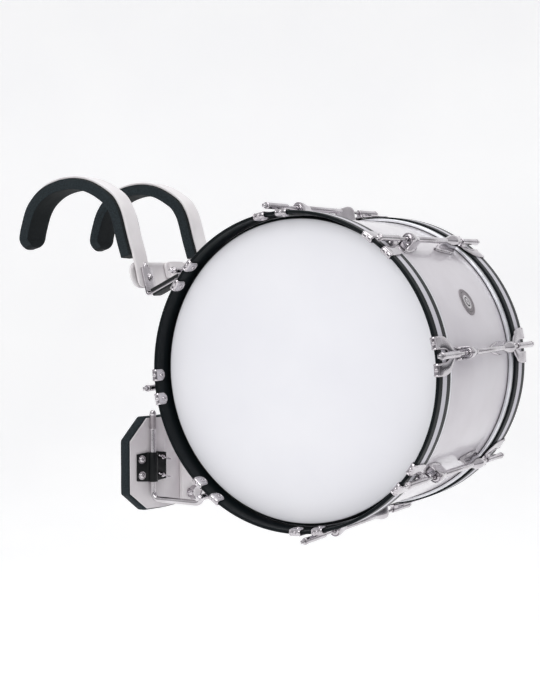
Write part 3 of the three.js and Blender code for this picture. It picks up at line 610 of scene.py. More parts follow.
# %% Counter hoops
COUNTER_HOOP = filleted([(HOOP_IN, HOOP_BACK), (HOOP_OUT, HOOP_BACK), (HOOP_OUT, HOOP_FRONT),
                         (HOOP_IN, HOOP_FRONT)], 2.8, 6)
for (side, sign), lacquer in zip(ENDS, (front_lacquer, back_lacquer)):
    turned_piece(f"{side}_counter_hoop", f"{side}_hoop", COUNTER_HOOP, sign, lacquer, "hoop_lacquer",
                 sharp=60)

# %% [markdown]
# ## The lugs
# A lug is a zinc casting: two leaf-shaped feet joined by a tube. Each foot is hollow, with a flange on
# the shell and an arched mouth for the rod. A foot is made as a thin skin through sections along Y, which
# changes from the arch to a narrow tail, and a Solidify modifier gives it its wall.

# %% Lug feet
MOUTH_Y, LUG_TUBE_END, LUG_WALL = 114.0, 92.0, 3.0
FLANGE_TOP, HOOD_FOOT, HOOD_BLEND, LEAST_STRAIGHT = 2.6, 6.5, 5.0, 8.0
FLAT_AT = 40                     # the height at which a section no longer follows the shell's curve
ROD_BORE = 3.6
# flange half width, hood half width, top above the shell, and how far the flange and the hood lie behind
# the mouth
FOOT_SHAPE = [(12.9, 11.2, 32.4, 0, 6.5), (13.0, 11.4, 33.0, 1.5, 8), (13.2, 11.5, 33.2, 6, 12),
              (13.2, 11.2, 33.0, 14, 18), (12.8, 10.2, 32.0, 22, 24), (12.0, 8.6, 30.4, 30, 31),
              (10.6, 7.0, 28.8, 38, 38), (8.6, 5.6, 27.4, 47, 47), (6.4, 4.4, 25.0, 56, 56),
              (4.4, 2.6, 20.0, 64, 64), (2.6, 1.2, 12.0, 70, 70)]


def foot_section(flange, hood, top, y_flange, y_hood):
    """One section of a foot, from flange to flange over its arch."""
    straight = max(top - hood, LEAST_STRAIGHT)
    half = [(flange, 0.5), (flange, 1.9), (flange - 0.9, FLANGE_TOP), (hood + 1.5, 2.9), (hood + 0.4, 4.0),
            (hood, HOOD_FOOT), (hood, (HOOD_FOOT + straight) / 2)] + arc(0, straight, hood, 0, 90, 6)
    half = [(u, straight + (v - straight) * (top - straight) / hood if v > straight else v) for u, v in half]
    made = []
    for u, v in half + [(-u, v) for u, v in reversed(half[:-1])]:
        radius = SHELL_RADIUS + v
        y = y_flange + (y_hood - y_flange) * min(max(v - FLANGE_TOP, 0) / HOOD_BLEND, 1.0)
        made.append((math.sqrt(max(radius * radius - u * u * (1 - v / FLAT_AT), 0)), y, u))
    return made


bm = bmesh.new()
for sign in (1, -1):
    skin(bm, [foot_section(f, h, t, sign * (MOUTH_Y - low), sign * (MOUTH_Y - high))
              for f, h, t, low, high in FOOT_SHAPE], ring=False)
feet = to_object(bm, "lug_feet")
for face in feet.data.polygons:
    if face.normal.dot(Vector((face.center.x - 0.280, 0, face.center.z))) < 0:
        face.flip()
bm = thickened(feet, LUG_WALL, -1, False)

# %% Lug tube, and the nut and web in each mouth
TUBE = filleted([(ROD_BORE, -LUG_TUBE_END), (5.5, -LUG_TUBE_END), (5.5, LUG_TUBE_END),
                 (ROD_BORE, LUG_TUBE_END)], 0.7, 3)
merged(bm, shifted(lathe(TUBE, 24), x=ROD_CIRCLE))
NUT = filleted([(ROD_BORE, 101), (8.6, 101), (8.6, 107.5), (ROD_BORE, 107.5)], [0.4, 0.8, 1.6, 0.6], 4)
for sign in (1, -1):
    nut = lathe(NUT, 24)
    plate(nut, rounded_rectangle(7.6, -19.2, -6.0, 1.5, 3), lambda a, b, d: (b, d, a), 100.0, 105.0, 0.8)
    bmesh.ops.scale(nut, vec=(1, sign, 1), verts=nut.verts)
    merged(bm, outward(shifted(nut, x=ROD_CIRCLE)))
lug = to_object(bm, "lug_pattern", recalc=False)
lugs = round_the_drum("lugs", lug, chrome)
hand_over(lugs, "drum", chrome, [f"lug_{n}" for n in range(1, LUGS + 1)])

# %% [markdown]
# ## The claws
# A claw is one casting as well: a tube for the key rod, a bridge, and two arms that go over the hoop. An
# arm is a grid of points on the hoop's outer face that bends over the hoop's front and ends in a D-shaped
# lobe on its inner wall. Its thickness comes from Solidify.

# %% Claw arms
CLAW_OUT, CLAW_IN, CLAW_FACE, CLAW_BEND, CLAW_ROOT = 290.5, 283.4, 216.6, 2.0, 150.0
CLAW_WRAP = 290.0                # the radius round which its flat sizes are bent
LOBE_MIDDLE, LOBE_HALF, LOBE_CENTRE = 23.0, 11.5, 85.0
CROWN, CROWN_END = 0.9, 60
ACROSS = 8
# (path length, inner edge, outer edge) of an arm, in millimetres from the claw's middle
ARM = [(0, 0.0, 9.0), (5, 0.0, 15.0), (10, 0.0, 20.5), (15, 1.5, 25.4), (20, 4.5, 28.8), (26, 8.0, 31.2),
       (33, 10.4, 32.8), (40, 11.2, 33.6), (48, 11.5, 34.2), (56, 11.5, 34.5), (61, 11.5, 34.5)]
ARM += [(s, 11.5, 34.5) for s in (64.6, 65.7, 66.7, 67.8, 69.3, 70.9, 71.9, 73.0, 74.0, 77.0, 81.0)]
ARM += [(LOBE_CENTRE + c, LOBE_MIDDLE - w, LOBE_MIDDLE + w) for c, w in (
    (c, math.sqrt(LOBE_HALF ** 2 - c ** 2)) for c in (0.0, 2.8, 5.4, 7.6, 9.4, 10.6, 11.3))]


def on_hoop(s, lift=0.0):
    """A point of the arm's path, as (radius, y): s runs from the arm's root, over the hoop, to the lobe."""
    to_bend, quarter = CLAW_FACE - CLAW_ROOT - CLAW_BEND, CLAW_BEND * math.pi / 2
    across = CLAW_OUT - CLAW_IN - 2 * CLAW_BEND
    rise = CLAW_BEND + lift
    if s <= to_bend:
        return CLAW_OUT + lift, CLAW_ROOT + s
    s -= to_bend
    if s <= quarter:
        t = s / CLAW_BEND
        return CLAW_OUT - CLAW_BEND + rise * math.cos(t), CLAW_FACE - CLAW_BEND + rise * math.sin(t)
    s -= quarter
    if s <= across:
        return CLAW_OUT - CLAW_BEND - s, CLAW_FACE + lift
    s -= across
    if s <= quarter:
        t = s / CLAW_BEND
        return CLAW_IN + CLAW_BEND - rise * math.sin(t), CLAW_FACE - CLAW_BEND + rise * math.cos(t)
    return CLAW_IN - lift, CLAW_FACE - CLAW_BEND - (s - quarter)


def wrapped(radius, y, z):
    """A point at a place z across, bent round the hoop."""
    a = z / CLAW_WRAP
    return Vector((radius * math.cos(a), y, radius * math.sin(a)))


bm = bmesh.new()
for side in (1, -1):
    rows = []
    for s, inner, outer in ARM:
        radius, y = on_hoop(s)
        crown = CROWN if s < CROWN_END else 0.0
        rows.append([wrapped(radius + crown * (1 - (2 * k / ACROSS - 1) ** 2), y,
                             side * (inner + (outer - inner) * k / ACROSS)) for k in range(ACROSS + 1)])
    skin(bm, rows, ring=False)
arms = to_object(bm, "claw_arms")
root = next(f for f in arms.data.polygons if f.center.y < 0.2 and f.center.x > 0.287)
if root.normal.x < 0:
    arms.data.flip_normals()
bm = thickened(arms, 2.6, 1, True)

# %% Claw tube and bridge
# The rod's tube is a touch wider at its front lip.
profile = filleted([(ROD_BORE, 148), (5.6, 148), (6.0, 152), (6.0, 219), (6.5, 221), (6.5, 225),
                    (ROD_BORE, 225)], [0.4, 1.0, 2.0, 1.0, 0.8, 1.0, 0.4], 3)
merged(bm, shifted(lathe(profile, 24), x=ROD_CIRCLE))
bridge = bmesh.new()
skin(bridge, [[(x, y, z) for y, z in filleted([(y0, -w), (y0, w), (y1, w), (y1, -w)], 2.6, 3)]
              for x, w, y0, y1 in ((290.8, 8.5, 150.2, 170), (293.5, 6.4, 150.2, 169), (297, 5.4, 150.2, 168),
                                   (300.5, 5.2, 150.4, 167))])
merged(bm, outward(bridge))

# %% Claw lobes
# Each arm has a raised rim that runs over its nose and round its lobe, a bump on the nose and a hollow
# boss in the lobe.
OVER_NOSE = (58, 60, 62, 64, 65, 66.1, 67.2, 68.3, 69.4, 70.4, 71.4, 72.4, 73.4, 74.6, 76.5, 79, 82, 85)
RIM_REACH, NOSE = 8.8, 69.4
BOSS = [(0, 0.5), (1.5, 0.5), (1.9, 2.2), (3.1, 2.0), (4.0, 1.2), (4.4, 0.2), (4.5, -0.8), (0, -0.8)]
NOSE_BUMP = [(0, 3.0), (1.6, 2.8), (2.9, 2.1), (3.8, 1.0), (4.1, -0.4), (4.0, -1.6), (0, -1.6)]


def on_claw(s, z, lift):
    """A point above the claw's outer surface, from its path length and its place across."""
    radius, y = on_hoop(s, lift)
    return wrapped(radius, y, z)


for side in (1, -1):
    middle = side * LOBE_MIDDLE
    rim_line = [(s, middle - RIM_REACH) for s in OVER_NOSE]
    rim_line += [(LOBE_CENTRE + RIM_REACH * math.sin(t), middle - RIM_REACH * math.cos(t)) for t in
                 (math.pi * k / 16 for k in range(1, 16))]
    rim_line += [(s, middle + RIM_REACH) for s in reversed(OVER_NOSE)]
    path = [on_claw(s, z, 2.5) for s, z in rim_line]
    sections = []
    for (s, z), p, ahead in zip(rim_line, path, headings(path)):
        up = (on_claw(s, z, 3.5) - p).normalized()
        across = ahead.cross(up).normalized()
        sections.append([p + across * (0.9 * math.cos(t)) + up * (0.8 * math.sin(t))
                         for t in (math.tau * k / 8 for k in range(8))])
    ridge = bmesh.new()
    skin(ridge, sections)
    merged(bm, outward(ridge))
    boss = transformed(outward(lathe(BOSS, 16, closed=False)), Matrix.Rotation(math.radians(90), 4, "Z"))
    merged(bm, shifted(boss, *on_claw(LOBE_CENTRE, middle, 2.5)))
    merged(bm, shifted(outward(lathe(NOSE_BUMP, 16, closed=False)), *on_claw(NOSE, middle, 2.2)))
claw = to_object(bm, "claw_pattern", recalc=False)
print("claw pattern", len(claw.data.polygons), "faces")
for side, sign in ENDS:
    claws = round_the_drum(f"{side}_claws", claw, chrome, front=sign < 0)
    hand_over(claws, "drum", chrome, [f"{side}_claw_{n}" for n in range(1, LUGS + 1)])

# %% [markdown]
# ## The key rods
# Sixteen rods with square heads pull the claws to the lugs. Each one turns on its own, so each is a
# piece of its own that rides on its own body. One pattern is drawn, with its thread, washer and head.

# %% Key rods
THREAD_FROM, PITCH, THREAD_TURNS = 61.0, 1.1, 36
profile = [(0, 60.0), (2.4, 60.0)]
for k in range(THREAD_TURNS):
    y = THREAD_FROM + PITCH * k
    profile += [(3.0, y), (2.6, y + PITCH / 2)]
profile += [(3.0, 100.5), (3.0, 225.2), (5.4, 225.3), (5.7, 225.6), (5.7, 226.5), (5.4, 226.9), (3.6, 226.9),
            (0, 226.9)]
bm = bmesh.new()
merged(bm, shifted(lathe(profile, 16, closed=False), x=ROD_CIRCLE))
key = bmesh.new()
skin(key, [[(ROD_CIRCLE + a, y, b) for a, b in rounded_rectangle(half_side, -half_side, half_side, corner, 2)]
           for y, half_side, corner in ((226.6, 2.2, 0.8), (227.4, 3.3, 0.7), (234.6, 3.3, 0.7),
                                        (235.6, 2.7, 0.7), (235.9, 2.0, 0.6))])
merged(bm, outward(key))
rod = to_object(bm, "rod_pattern", recalc=False)
for side, sign in ENDS:
    for n in range(1, LUGS + 1):
        angle = FIRST_ANGLE + STEP_ANGLE * (n - 1)
        made = round_the_drum(f"{side}_key_rod_{n}", rod, steel, 1, angle, sign < 0)
        hand_over(made, f"{side}_rod_{n}", steel, [f"{side}_rod_{n}"])
for pattern in (lug, claw, rod):
    thrown_away(pattern)

# %% [markdown]
# ## The badge and the screws in the shell
# A round badge with an air vent sits on the shell between two lugs. Here it has plain rings round the
# vent. It follows the shell's curve, so its points are wrapped round the cylinder. Behind each lug,
# screws with washers come through the shell from inside.

# %% Badge
BADGE_ANGLE, BADGE_Y, BADGE_SCALE = math.radians(26.6), 10.0, 1.13
BADGE = [(0, -0.1), (2.6, -0.1), (2.8, 1.3), (3.4, 1.9), (4.6, 1.9), (5.4, 1.2), (6.4, 0.95), (8.4, 0.95),
         (12, 0.95), (17.6, 0.95), (18.2, 0.7), (18.8, 0.95), (20.4, 0.95), (21.0, 1.6), (22.4, 1.7),
         (23.2, 1.2), (23.5, 0.1), (23.5, -0.6)]
# The vent's centre is painted black as the shade inside its opening, and two thin rings are painted dark too.
VENT_SHADE_AND_LINES = ((-1, 2.9), (7.3, 9.5), (19.9, 20.6))     # the vent and two lines, by their radii
SATIN_FROM = 13.6
badge_out = Vector((math.cos(BADGE_ANGLE), 0, math.sin(BADGE_ANGLE)))
badge_seat = DRUM_CENTRE + badge_out * SHELL_RADIUS + Vector((0, BADGE_Y, 0))
bm = lathe([(r * BADGE_SCALE, h) for r, h in BADGE], 64, closed=False)
for v in bm.verts:
    u, height, w = v.co
    angle, radius = BADGE_ANGLE + w / SHELL_RADIUS, SHELL_RADIUS + height + 0.1
    v.co = (radius * math.cos(angle), BADGE_Y + u, radius * math.sin(angle))
badge = to_object(bm, "vent_badge", DRUM_CENTRE)
if any(face.normal.dot(badge_out) < -0.3 for face in badge.data.polygons):
    badge.data.flip_normals()


# Black for the vent's painted shade and the two dark rings, satin for the outer field, and bright steel for the
# rest.
def badge_paint(face):
    reach = (face.center - badge_seat * MM).length * 1000
    if any(low < reach < high for low, high in VENT_SHADE_AND_LINES):
        return 1
    return 2 if reach > SATIN_FROM else 0


painted(badge, (steel, black_enamel, satin_steel), badge_paint)
hand_over(badge, "drum", steel)

# %% Fastener patterns
def head_pattern(name, profile):
    """A screw head standing on the origin, along +Z, from [radius, height] points."""
    return to_object(outward(upright(lathe(profile, 24, closed=False))), name, recalc=False)


def wing_nut(name, hub_radius, hub_height, span, ear_height, ear_thickness, base=0.0):
    """A wing nut standing on the origin: a tapered hub, a stub of thread, and two ears."""
    bm = bmesh.new()
    top, stub, half = base + hub_height, hub_radius * 0.5, span / 2
    hub = [(0, base), (hub_radius, base), (hub_radius, base + 1.5), (hub_radius * 0.72, top),
           (stub, top + 0.3), (stub, top + 2.2), (0, top + 2.4)]
    merged(bm, outward(upright(lathe(hub, 20, closed=False))))
    outline = filleted([(hub_radius * 0.4, base + 1.2), (half * 0.62, base + 2.2),
                        (half * 0.98, base + ear_height * 0.45), (half, base + ear_height),
                        (half * 0.66, base + ear_height), (hub_radius * 0.4, top)],
                       [0.2, 2.0, 3.0, 3.4, 3.0, 0.2], 4)
    for side in (1, -1):
        ear = bmesh.new()
        plate(ear, outline, lambda a, b, d: (side * a, d, b), -ear_thickness / 2, ear_thickness / 2, 0.7)
        merged(bm, outward(ear))
    return to_object(bm, name, recalc=False)


dome_bolt = head_pattern("dome_bolt_pattern", [
    (0, 2.3), (1.9, 2.3), (2.1, 4.6), (3.4, 4.5), (4.9, 3.7), (5.9, 2.4), (6.3, 1.3), (6.3, 1.2), (8.0, 1.2),
    (8.3, 0.9), (8.3, 0.0), (0, 0.0)])
pan_screw = head_pattern("pan_screw_pattern", [
    (0, 1.9), (1.4, 1.9), (1.7, 3.2), (3.2, 2.9), (4.4, 2.1), (4.9, 1.1), (4.9, 0.9), (6.3, 0.9), (6.5, 0.7),
    (6.5, 0.0), (0, 0.0)])
small_wing = wing_nut("wing_nut_pattern", 5.6, 6.8, 33, 14.5, 2.8, 0.2)

# %% Lug screws
SCREW_SEAT = 272.1
seats = []
for n in range(LUGS):
    angle = FIRST_ANGLE + STEP_ANGLE * n
    inward = Vector((-math.cos(angle), 0, -math.sin(angle)))
    seats += [(Vector((0, y, 0)) - inward * SCREW_SEAT, inward, 20 * n + y) for y in (-98, -62, 62, 98)]
lug_screws = on_seats("lug_screws", pan_screw, steel, seats, DRUM_CENTRE)
hand_over(lug_screws, "drum", steel)

# %% [markdown]
# ## The shoulder bars and their pads
# Each bar is a flat strip of aluminium bent over the shoulder, and a thick foam pad lines it. Both follow
# one curve, which is a Catmull-Rom spline through the same points as in the CAD. Points at even steps
# along it carry the sections.

# %% The arch's curve
ARCH = [(-425, 41), (-430, 64), (-423, 95), (-410, 128), (-390, 152.5), (-362, 171), (-328, 181.5),
        (-297, 184.4), (-267, 181), (-237, 170.5), (-202, 149.5), (-185, 128), (-175, 105), (-165, 70),
        (-152.5, 30)]
FOOT = Vector((-137.0, -33.0))
SIDES = (("right", -1), ("left", 1))


def catmull(points, steps=14):
    points = [Vector(p) for p in points]
    made = []
    for p0, p1, p2, p3 in zip(points[:1] + points, points, points[1:], points[2:] + points[-1:]):
        v0, v1 = (p2 - p0) * 0.5, (p3 - p1) * 0.5
        cube, square = 2 * p1 - 2 * p2 + v0 + v1, -3 * p1 + 3 * p2 - 2 * v0 - v1
        made += [cube * t ** 3 + square * t ** 2 + v0 * t + p1 for t in (k / steps for k in range(steps))]
    return made + points[-1:]


def stepped(line, distances):
    """Points and directions at distances along a line, and the line's length."""
    runs = [0.0]
    for a, b in zip(line, line[1:]):
        runs.append(runs[-1] + (b - a).length)
    made = []
    for d in distances:
        d = min(max(d, 0), runs[-1])
        i = next((k for k in range(1, len(runs)) if runs[k] >= d), len(runs) - 1)
        share = (d - runs[i - 1]) / max(runs[i] - runs[i - 1], 1e-9)
        before, after = line[max(i - 2, 0)], line[min(i + 1, len(line) - 1)]
        made.append((line[i - 1].lerp(line[i], share), (after - before).normalized()))
    return made, runs[-1]


BLUNT = 0.04                     # keeps a rounded end from closing to a line


def end_width(distance, half_width, radius):
    """Half width near a rounded end, distance mm from it."""
    if distance >= radius:
        return half_width
    return half_width - radius + math.sqrt(max(radius ** 2 - (radius - distance) ** 2, BLUNT))


arch_line = catmull(ARCH)
ARCH_LENGTH = stepped(arch_line, [])[1]
print("arch length", round(ARCH_LENGTH, 1), "mm")

# %% Bars
SHOULDER_Y, BAR_HALF_WIDTH, BAR_LOW, BAR_TOP = 119.0, 22, 0.3, 4.8
BAR_REAR_ROUND, BAR_FRONT_ROUND = 16, 12
BAR_START = ARCH_LENGTH / 8
BAR_MARKS, BAR_STEP = [0, 0.6, 2, 4, 7, 11, 16], 6
bar_line = arch_line + [arch_line[-1].lerp(FOOT, k / 8) for k in range(1, 9)]
bar_length = stepped(bar_line, [])[1] - BAR_START


def marks_along(first, step, end):
    """The first marks, then one at each step before the end."""
    return first + [m for m in (first[-1] + k * step for k in range(1, 200)) if m < end]


def bar_section(m, point, ahead, y):
    """The section m mm along the bar, above the arch's line. Both ends of the bar are rounded."""
    up = Vector((-ahead.y, ahead.x))
    w = min(end_width(m, BAR_HALF_WIDTH, BAR_REAR_ROUND),
            end_width(bar_length - m, BAR_HALF_WIDTH, BAR_FRONT_ROUND))
    outline = filleted([(w, BAR_LOW), (w, BAR_TOP), (-w, BAR_TOP), (-w, BAR_LOW)], [0.7, 1.6, 1.6, 0.7], 4)
    return [(point.x + up.x * height, y + across, point.y + up.y * height) for across, height in outline]


marks = marks_along(BAR_MARKS, BAR_STEP, bar_length - 12)
marks += [bar_length - m for m in (12, 9, 6, 3.5, 1.8, 0.6, 0)]
places, _ = stepped(bar_line, [BAR_START + m for m in marks])
for side, sign in SIDES:
    bm = bmesh.new()
    skin(bm, [bar_section(m, p, d, sign * SHOULDER_Y) for m, (p, d) in zip(marks, places)])
    piece(bm, f"{side}_shoulder_strap_bar", "carrier", white_enamel, "white_paint", [f"{side}_shoulder_bar"],
          sharp=50)

# %% [markdown]
# The pads are cut from thick closed-cell foam. A pad has a flat side, a crisp edge, and an underside that
# is pressed into a shallow hollow along its middle. Its rear end is rounded off. The form is swept along
# the arch, subdivided, and then dented a little, as foam is where it has been worn.

# %% Pads
PAD_HALF_WIDTH, PAD_DEPTH, PAD_END = 31.0, 24.6, 27.0
PAD_MARKS, PAD_STEP = [0.3, 1.2, 3, 6, 10, 15, 21, 27], 9
FRONT_PULL, REAR_THINNING, REAR_THIN_LENGTH = 0.6, 0.22, 9
# Faces that look more to the side than this take the paler, painted-light copy of the foam.
LIT_SIDE_FACING = 0.55     # a face that looks more to the side than this is one of the cut sides
# (across, depth) of one half of the section, as shares of the half width and the depth
PAD_SIDE = [(0.96, 0.0), (0.988, 0.03), (1.0, 0.1), (1.0, 0.4), (1.0, 0.80), (0.99, 0.865), (0.955, 0.91),
            (0.88, 0.935), (0.72, 0.955), (0.50, 0.968), (0.25, 0.972)]
PAD_RING = PAD_SIDE + [(0.0, 0.965)] + [(-a, d) for a, d in reversed(PAD_SIDE)]


def dented(thing, waves, sink):
    """Moves points along their normals by noise of (frequency, height in mm), as worn foam is dented."""
    normals = [v.normal.copy() for v in thing.data.vertices]
    for v, normal in zip(thing.data.vertices, normals):
        height = sum(blender_noise.noise(v.co * often) * tall for often, tall in waves) - sink
        v.co += normal * (height * MM)


def pad_section(m, point, ahead, y):
    """The section m mm along the arch: narrow at the rounded rear end, and a little drawn in at both ends."""
    down = Vector((ahead.y, -ahead.x))
    half_width = end_width(m, PAD_HALF_WIDTH, PAD_END) - FRONT_PULL * max(0, 1 - (ARCH_LENGTH - m) / 2)
    depth = PAD_DEPTH * (1 - REAR_THINNING * max(0, 1 - m / REAR_THIN_LENGTH) ** 2)
    return [(point.x + down.x * deep * depth, y + across * half_width, point.y + down.y * deep * depth)
            for across, deep in PAD_RING]


marks = marks_along(PAD_MARKS, PAD_STEP, ARCH_LENGTH - 8)
marks += [ARCH_LENGTH - 3, ARCH_LENGTH - 0.8, ARCH_LENGTH - 0.1]
places, _ = stepped(arch_line, marks)
for side, sign in SIDES:
    bm = bmesh.new()
    rows = skin(bm, [pad_section(m, p, d, sign * SHOULDER_Y) for m, (p, d) in zip(marks, places)], caps=False)
    for row in (rows[0], rows[-1]):
        last = len(row) - 1
        for k in range(last // 2):
            corners = [row[k], row[k + 1], row[last - 1 - k], row[last - k]]
            bm.faces.new(corners if corners[1] is not corners[2] else corners[:2] + corners[3:])
    pad = to_object(bm, f"{side}_foam_shoulder_pad", CARRIER_PLACE, levels=2, sharp=70)
    dented(pad, [(38.0, 0.45), (110.0, 0.12)], 0.4)
    # Painted light and shade: the side faces get the paler foam, and the rest get the darker copy.
    painted(pad, (foam, pressed_foam), lambda face: 0 if abs(face.normal.y) > LIT_SIDE_FACING else 1)
    hand_over(pad, "carrier", foam, [f"{side}_shoulder_pad"])

# %% [markdown]
# ## The yoke plate and the spine
# The yoke is a stamped plate across the two bars' feet, with a pressed panel that leaves a raised rim at
# its rounded ends. The spine runs down from it to the belly plate. Plates that lie along the feet are
# drawn upright, as across and up the foot, and then tilted with it.

# %% Plates along the feet
UP_FOOT = (Vector(ARCH[-1]) - FOOT).normalized()
OUT_FOOT = Vector((UP_FOOT.y, -UP_FOOT.x))
STAMPED_EDGE, PANEL_SLOPE = 0.7, 1.4


def on_foot(height, outward_mm):
    return FOOT + UP_FOOT * height + OUT_FOOT * outward_mm


def foot_space(across, height, outward_mm):
    x, z = on_foot(height, outward_mm)
    return x, across, z


def embossed_plate(bm, outline, near, far, rim, depth):
    """A plate along the feet whose far face has a pressed panel inside a rim."""
    faces = plate(bm, outline, foot_space, near, far, STAMPED_EDGE)
    out = (Vector(foot_space(0, 0, 1)) - Vector(foot_space(0, 0, 0))).normalized()
    face = max(faces, key=lambda f: f.calc_area() + f.normal.dot(out) * 1e3)
    bmesh.ops.inset_individual(bm, faces=[face], thickness=rim, use_even_offset=True)
    bmesh.ops.inset_individual(bm, faces=[face], thickness=PANEL_SLOPE, depth=-depth, use_even_offset=True)
    bmesh.ops.triangulate(bm, faces=[f for f in bm.faces if len(f.verts) > 4])
    return bm


bm = embossed_plate(bmesh.new(), rounded_rectangle(157, -1.5, 50.5, 25, 12), -4.3, -0.35, 5.5, 1.0)
piece(bm, "yoke_crossplate", "carrier", white_enamel, "white_paint", ["yoke_plate"], sharp=40)

# %% Spine
SPINE_X, SPINE_LOW, SPINE_HALF_WIDTH, SPINE_THICK = -120.2, -474.0, 24, 7.9
top = on_foot(50.2, 0.15)
corner = Vector((SPINE_X, top.y - (top.x - SPINE_X) * UP_FOOT.y / UP_FOOT.x))
spine_line = [Vector((SPINE_X, SPINE_LOW + m)) for m in (0, 0.6, 1.8, 3.5, 6, 9, 13)]
spine_line += [Vector((SPINE_X, z)) for z in range(-440, -108, 22)]
spine_line += [corner + Vector((0, -5)), corner + Vector((-0.2, 0.2)), corner + UP_FOOT * 5]
spine_line += [corner.lerp(top, k / 5) for k in range(1, 6)]
sections = []
for p, ahead in zip(spine_line, headings(spine_line)):
    w = end_width(p.y - SPINE_LOW, SPINE_HALF_WIDTH, 9)
    sections.append([(p.x + ahead.y * h, a, p.y - ahead.x * h) for a, h in
                     filleted([(w, 0), (w, SPINE_THICK), (-w, SPINE_THICK), (-w, 0)], [0.6, 1.4, 1.4, 0.6], 3)])
bm = bmesh.new()
skin(bm, sections)
embossed_plate(bm, rounded_rectangle(38, 14, 50.2, 12, 8), 0.15, 4.0, 4.5, 0.8)
piece(bm, "spine_bar", "carrier", white_enamel, "white_paint", ["spine"], sharp=40)

# %% [markdown]
# ## The belly plate and its pad
# The belly plate is a sheet with its corners cut and its two wings bent back, and a foam pad is glued
# behind it. The plate here is a copy of the CAD's, with its edges rounded so that they catch the light.
# The pad is pressed foam: a soft-edged block with the same bends.

# %% Belly plate
PLATE_SHARP, PLATE_EDGE = 12, 0.7
bm = in_mm(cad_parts["belly_plate"].data)
bmesh.ops.remove_doubles(bm, verts=bm.verts, dist=0.01)
bmesh.ops.dissolve_limit(bm, angle_limit=math.radians(1), verts=bm.verts, edges=bm.edges)
belly = to_object(bm, "belly_rest_plate", sharp=PLATE_SHARP, recalc=False)
soft = belly.modifiers.new("soft", "BEVEL")
soft.width, soft.segments, soft.limit_method = PLATE_EDGE * MM, 3, "ANGLE"
soft.angle_limit = math.radians(30)
shaded(baked(belly), PLATE_SHARP)
hand_over(belly, "belly_unit", grey_enamel, ["belly_plate"])

# %% Belly pad
BELLY_FACE, BELLY_TOP, BELLY_LOW, BELLY_HALF, FLAT_HALF = -120.5, -293.0, -474.0, 156, 80.0
WING = math.radians(20)
PAD_GROW, PAD_FRONT, PAD_BACK, OUTLINE_STEP = 3.0, 3.5, 24.0, 6
CUT_ACROSS, CUT_TOP, CUT_LOW = 38, 45, 34          # the belly plate's cut corners
# (how far the outline grows, depth behind the plate's face) of the pad's edge, from front to back
PAD_EDGE = [(-5.0, PAD_FRONT), (-2.2, 3.6), (-0.6, 4.6), (0.0, 7.0), (0.0, 12.0), (0.0, 18.0), (-0.8, 21.0),
            (-3.0, 23.0), (-7.5, 23.9), (-16, PAD_BACK)]


def belly_space(point, deep):
    """A point of the belly sheet: across and up, and deep behind its front face."""
    bend = max(abs(point.x) - FLAT_HALF, 0)
    return Vector((BELLY_FACE - bend * math.tan(WING) - deep, point.x, point.y))


w, t, b = BELLY_HALF + PAD_GROW, BELLY_TOP + PAD_GROW, BELLY_LOW - PAD_GROW
half = [(w, b + CUT_LOW), (w, t - CUT_TOP), (w - CUT_ACROSS, t)]
outline = filleted(half + [(-a, c) for a, c in reversed(half)] + [(CUT_ACROSS - w, b), (w - CUT_ACROSS, b)],
                   4, 2)
dense = []
for a, b in zip(outline, outline[1:] + outline[:1]):
    a, b = Vector(a), Vector(b)
    pieces = max(int((b - a).length / OUTLINE_STEP), 1)
    dense += [a.lerp(b, k / pieces) for k in range(pieces)]
middle = Vector((0, (BELLY_TOP + BELLY_LOW) / 2))
bm = bmesh.new()
rows = skin(bm, [[belly_space(p + (middle - p).normalized() * -grow, deep) for p in dense]
                 for grow, deep in PAD_EDGE], caps=False)
for last, deep in ((rows[0], PAD_FRONT), (rows[-1], PAD_BACK)):
    flat = [Vector((v.co.y, v.co.z)) for v in last]
    for share in (0.25, 0.5, 0.75, 0.94):
        ring = [bm.verts.new(belly_space(p.lerp(middle, share), deep)) for p in flat]
        for k in range(len(ring)):
            n = (k + 1) % len(ring)
            bm.faces.new((last[k], last[n], ring[n], ring[k]))
        last = ring
    centre = bm.verts.new(belly_space(middle, deep))
    for k in range(len(last)):
        bm.faces.new((last[k], last[(k + 1) % len(last)], centre))
belly_pad = to_object(bm, "foam_belly_pad", CARRIER_PLACE, levels=1, sharp=60)
dented(belly_pad, [(30.0, 0.5)], 0.0)
hand_over(belly_pad, "belly_unit", foam, ["belly_pad"])

# %% [markdown]
# ## The rod clamps and the support rods
# A clamp is a black strap bent over the rod, held by two screws on its outer side and two wing nuts on
# its inner side. A support rod is a bent steel rod with a cap and a sleeve at its top and a rubber tip
# that bears on the shell.

# %% Clamps
ALONG, OFF = Vector((math.sin(WING), math.cos(WING))), Vector((math.cos(WING), -math.sin(WING)))
SUPPORT_Y, ROD_SEAT = 112.0, 7.0
CLAMP_MIDDLE, CLAMP_HALF, STRAP_HALF, STRAP_LOW, STRAP_TOP = -390.0, 29.3, 35, 0.3, 3.3
CORNER_ALONG, CORNER_HEIGHT, CORNER_CUT = 33.5, 27.5, 2.4
TAPER_FROM, TAPER_LENGTH, TAPER = 14, 21, 0.10
seat_y = -SUPPORT_Y - ROD_SEAT * OFF.y
SEAT = Vector((BELLY_FACE - (abs(seat_y) - FLAT_HALF) * math.tan(WING), seat_y))
ROD_X = SEAT.x + ROD_SEAT * OFF.x


def clamp_point(along, off):
    return SEAT + ALONG * along + OFF * off


bm = bmesh.new()
outline = [(-STRAP_HALF, STRAP_LOW), (-8.2, STRAP_LOW)] + arc(0, ROD_SEAT, 6.0, 200, -20, 14)
outline += [(8.2, STRAP_LOW), (STRAP_HALF, STRAP_LOW), (STRAP_HALF, STRAP_TOP), (12.6, STRAP_TOP), (10.4, 4.6)]
outline += arc(0, ROD_SEAT, 9.6, -8, 188, 16) + [(-10.4, 4.6), (-12.6, STRAP_TOP), (-STRAP_HALF, STRAP_TOP)]
plate(bm, outline, lambda a, b, d: (*clamp_point(a, b), CLAMP_MIDDLE + d), -CLAMP_HALF, CLAMP_HALF, 0.7)
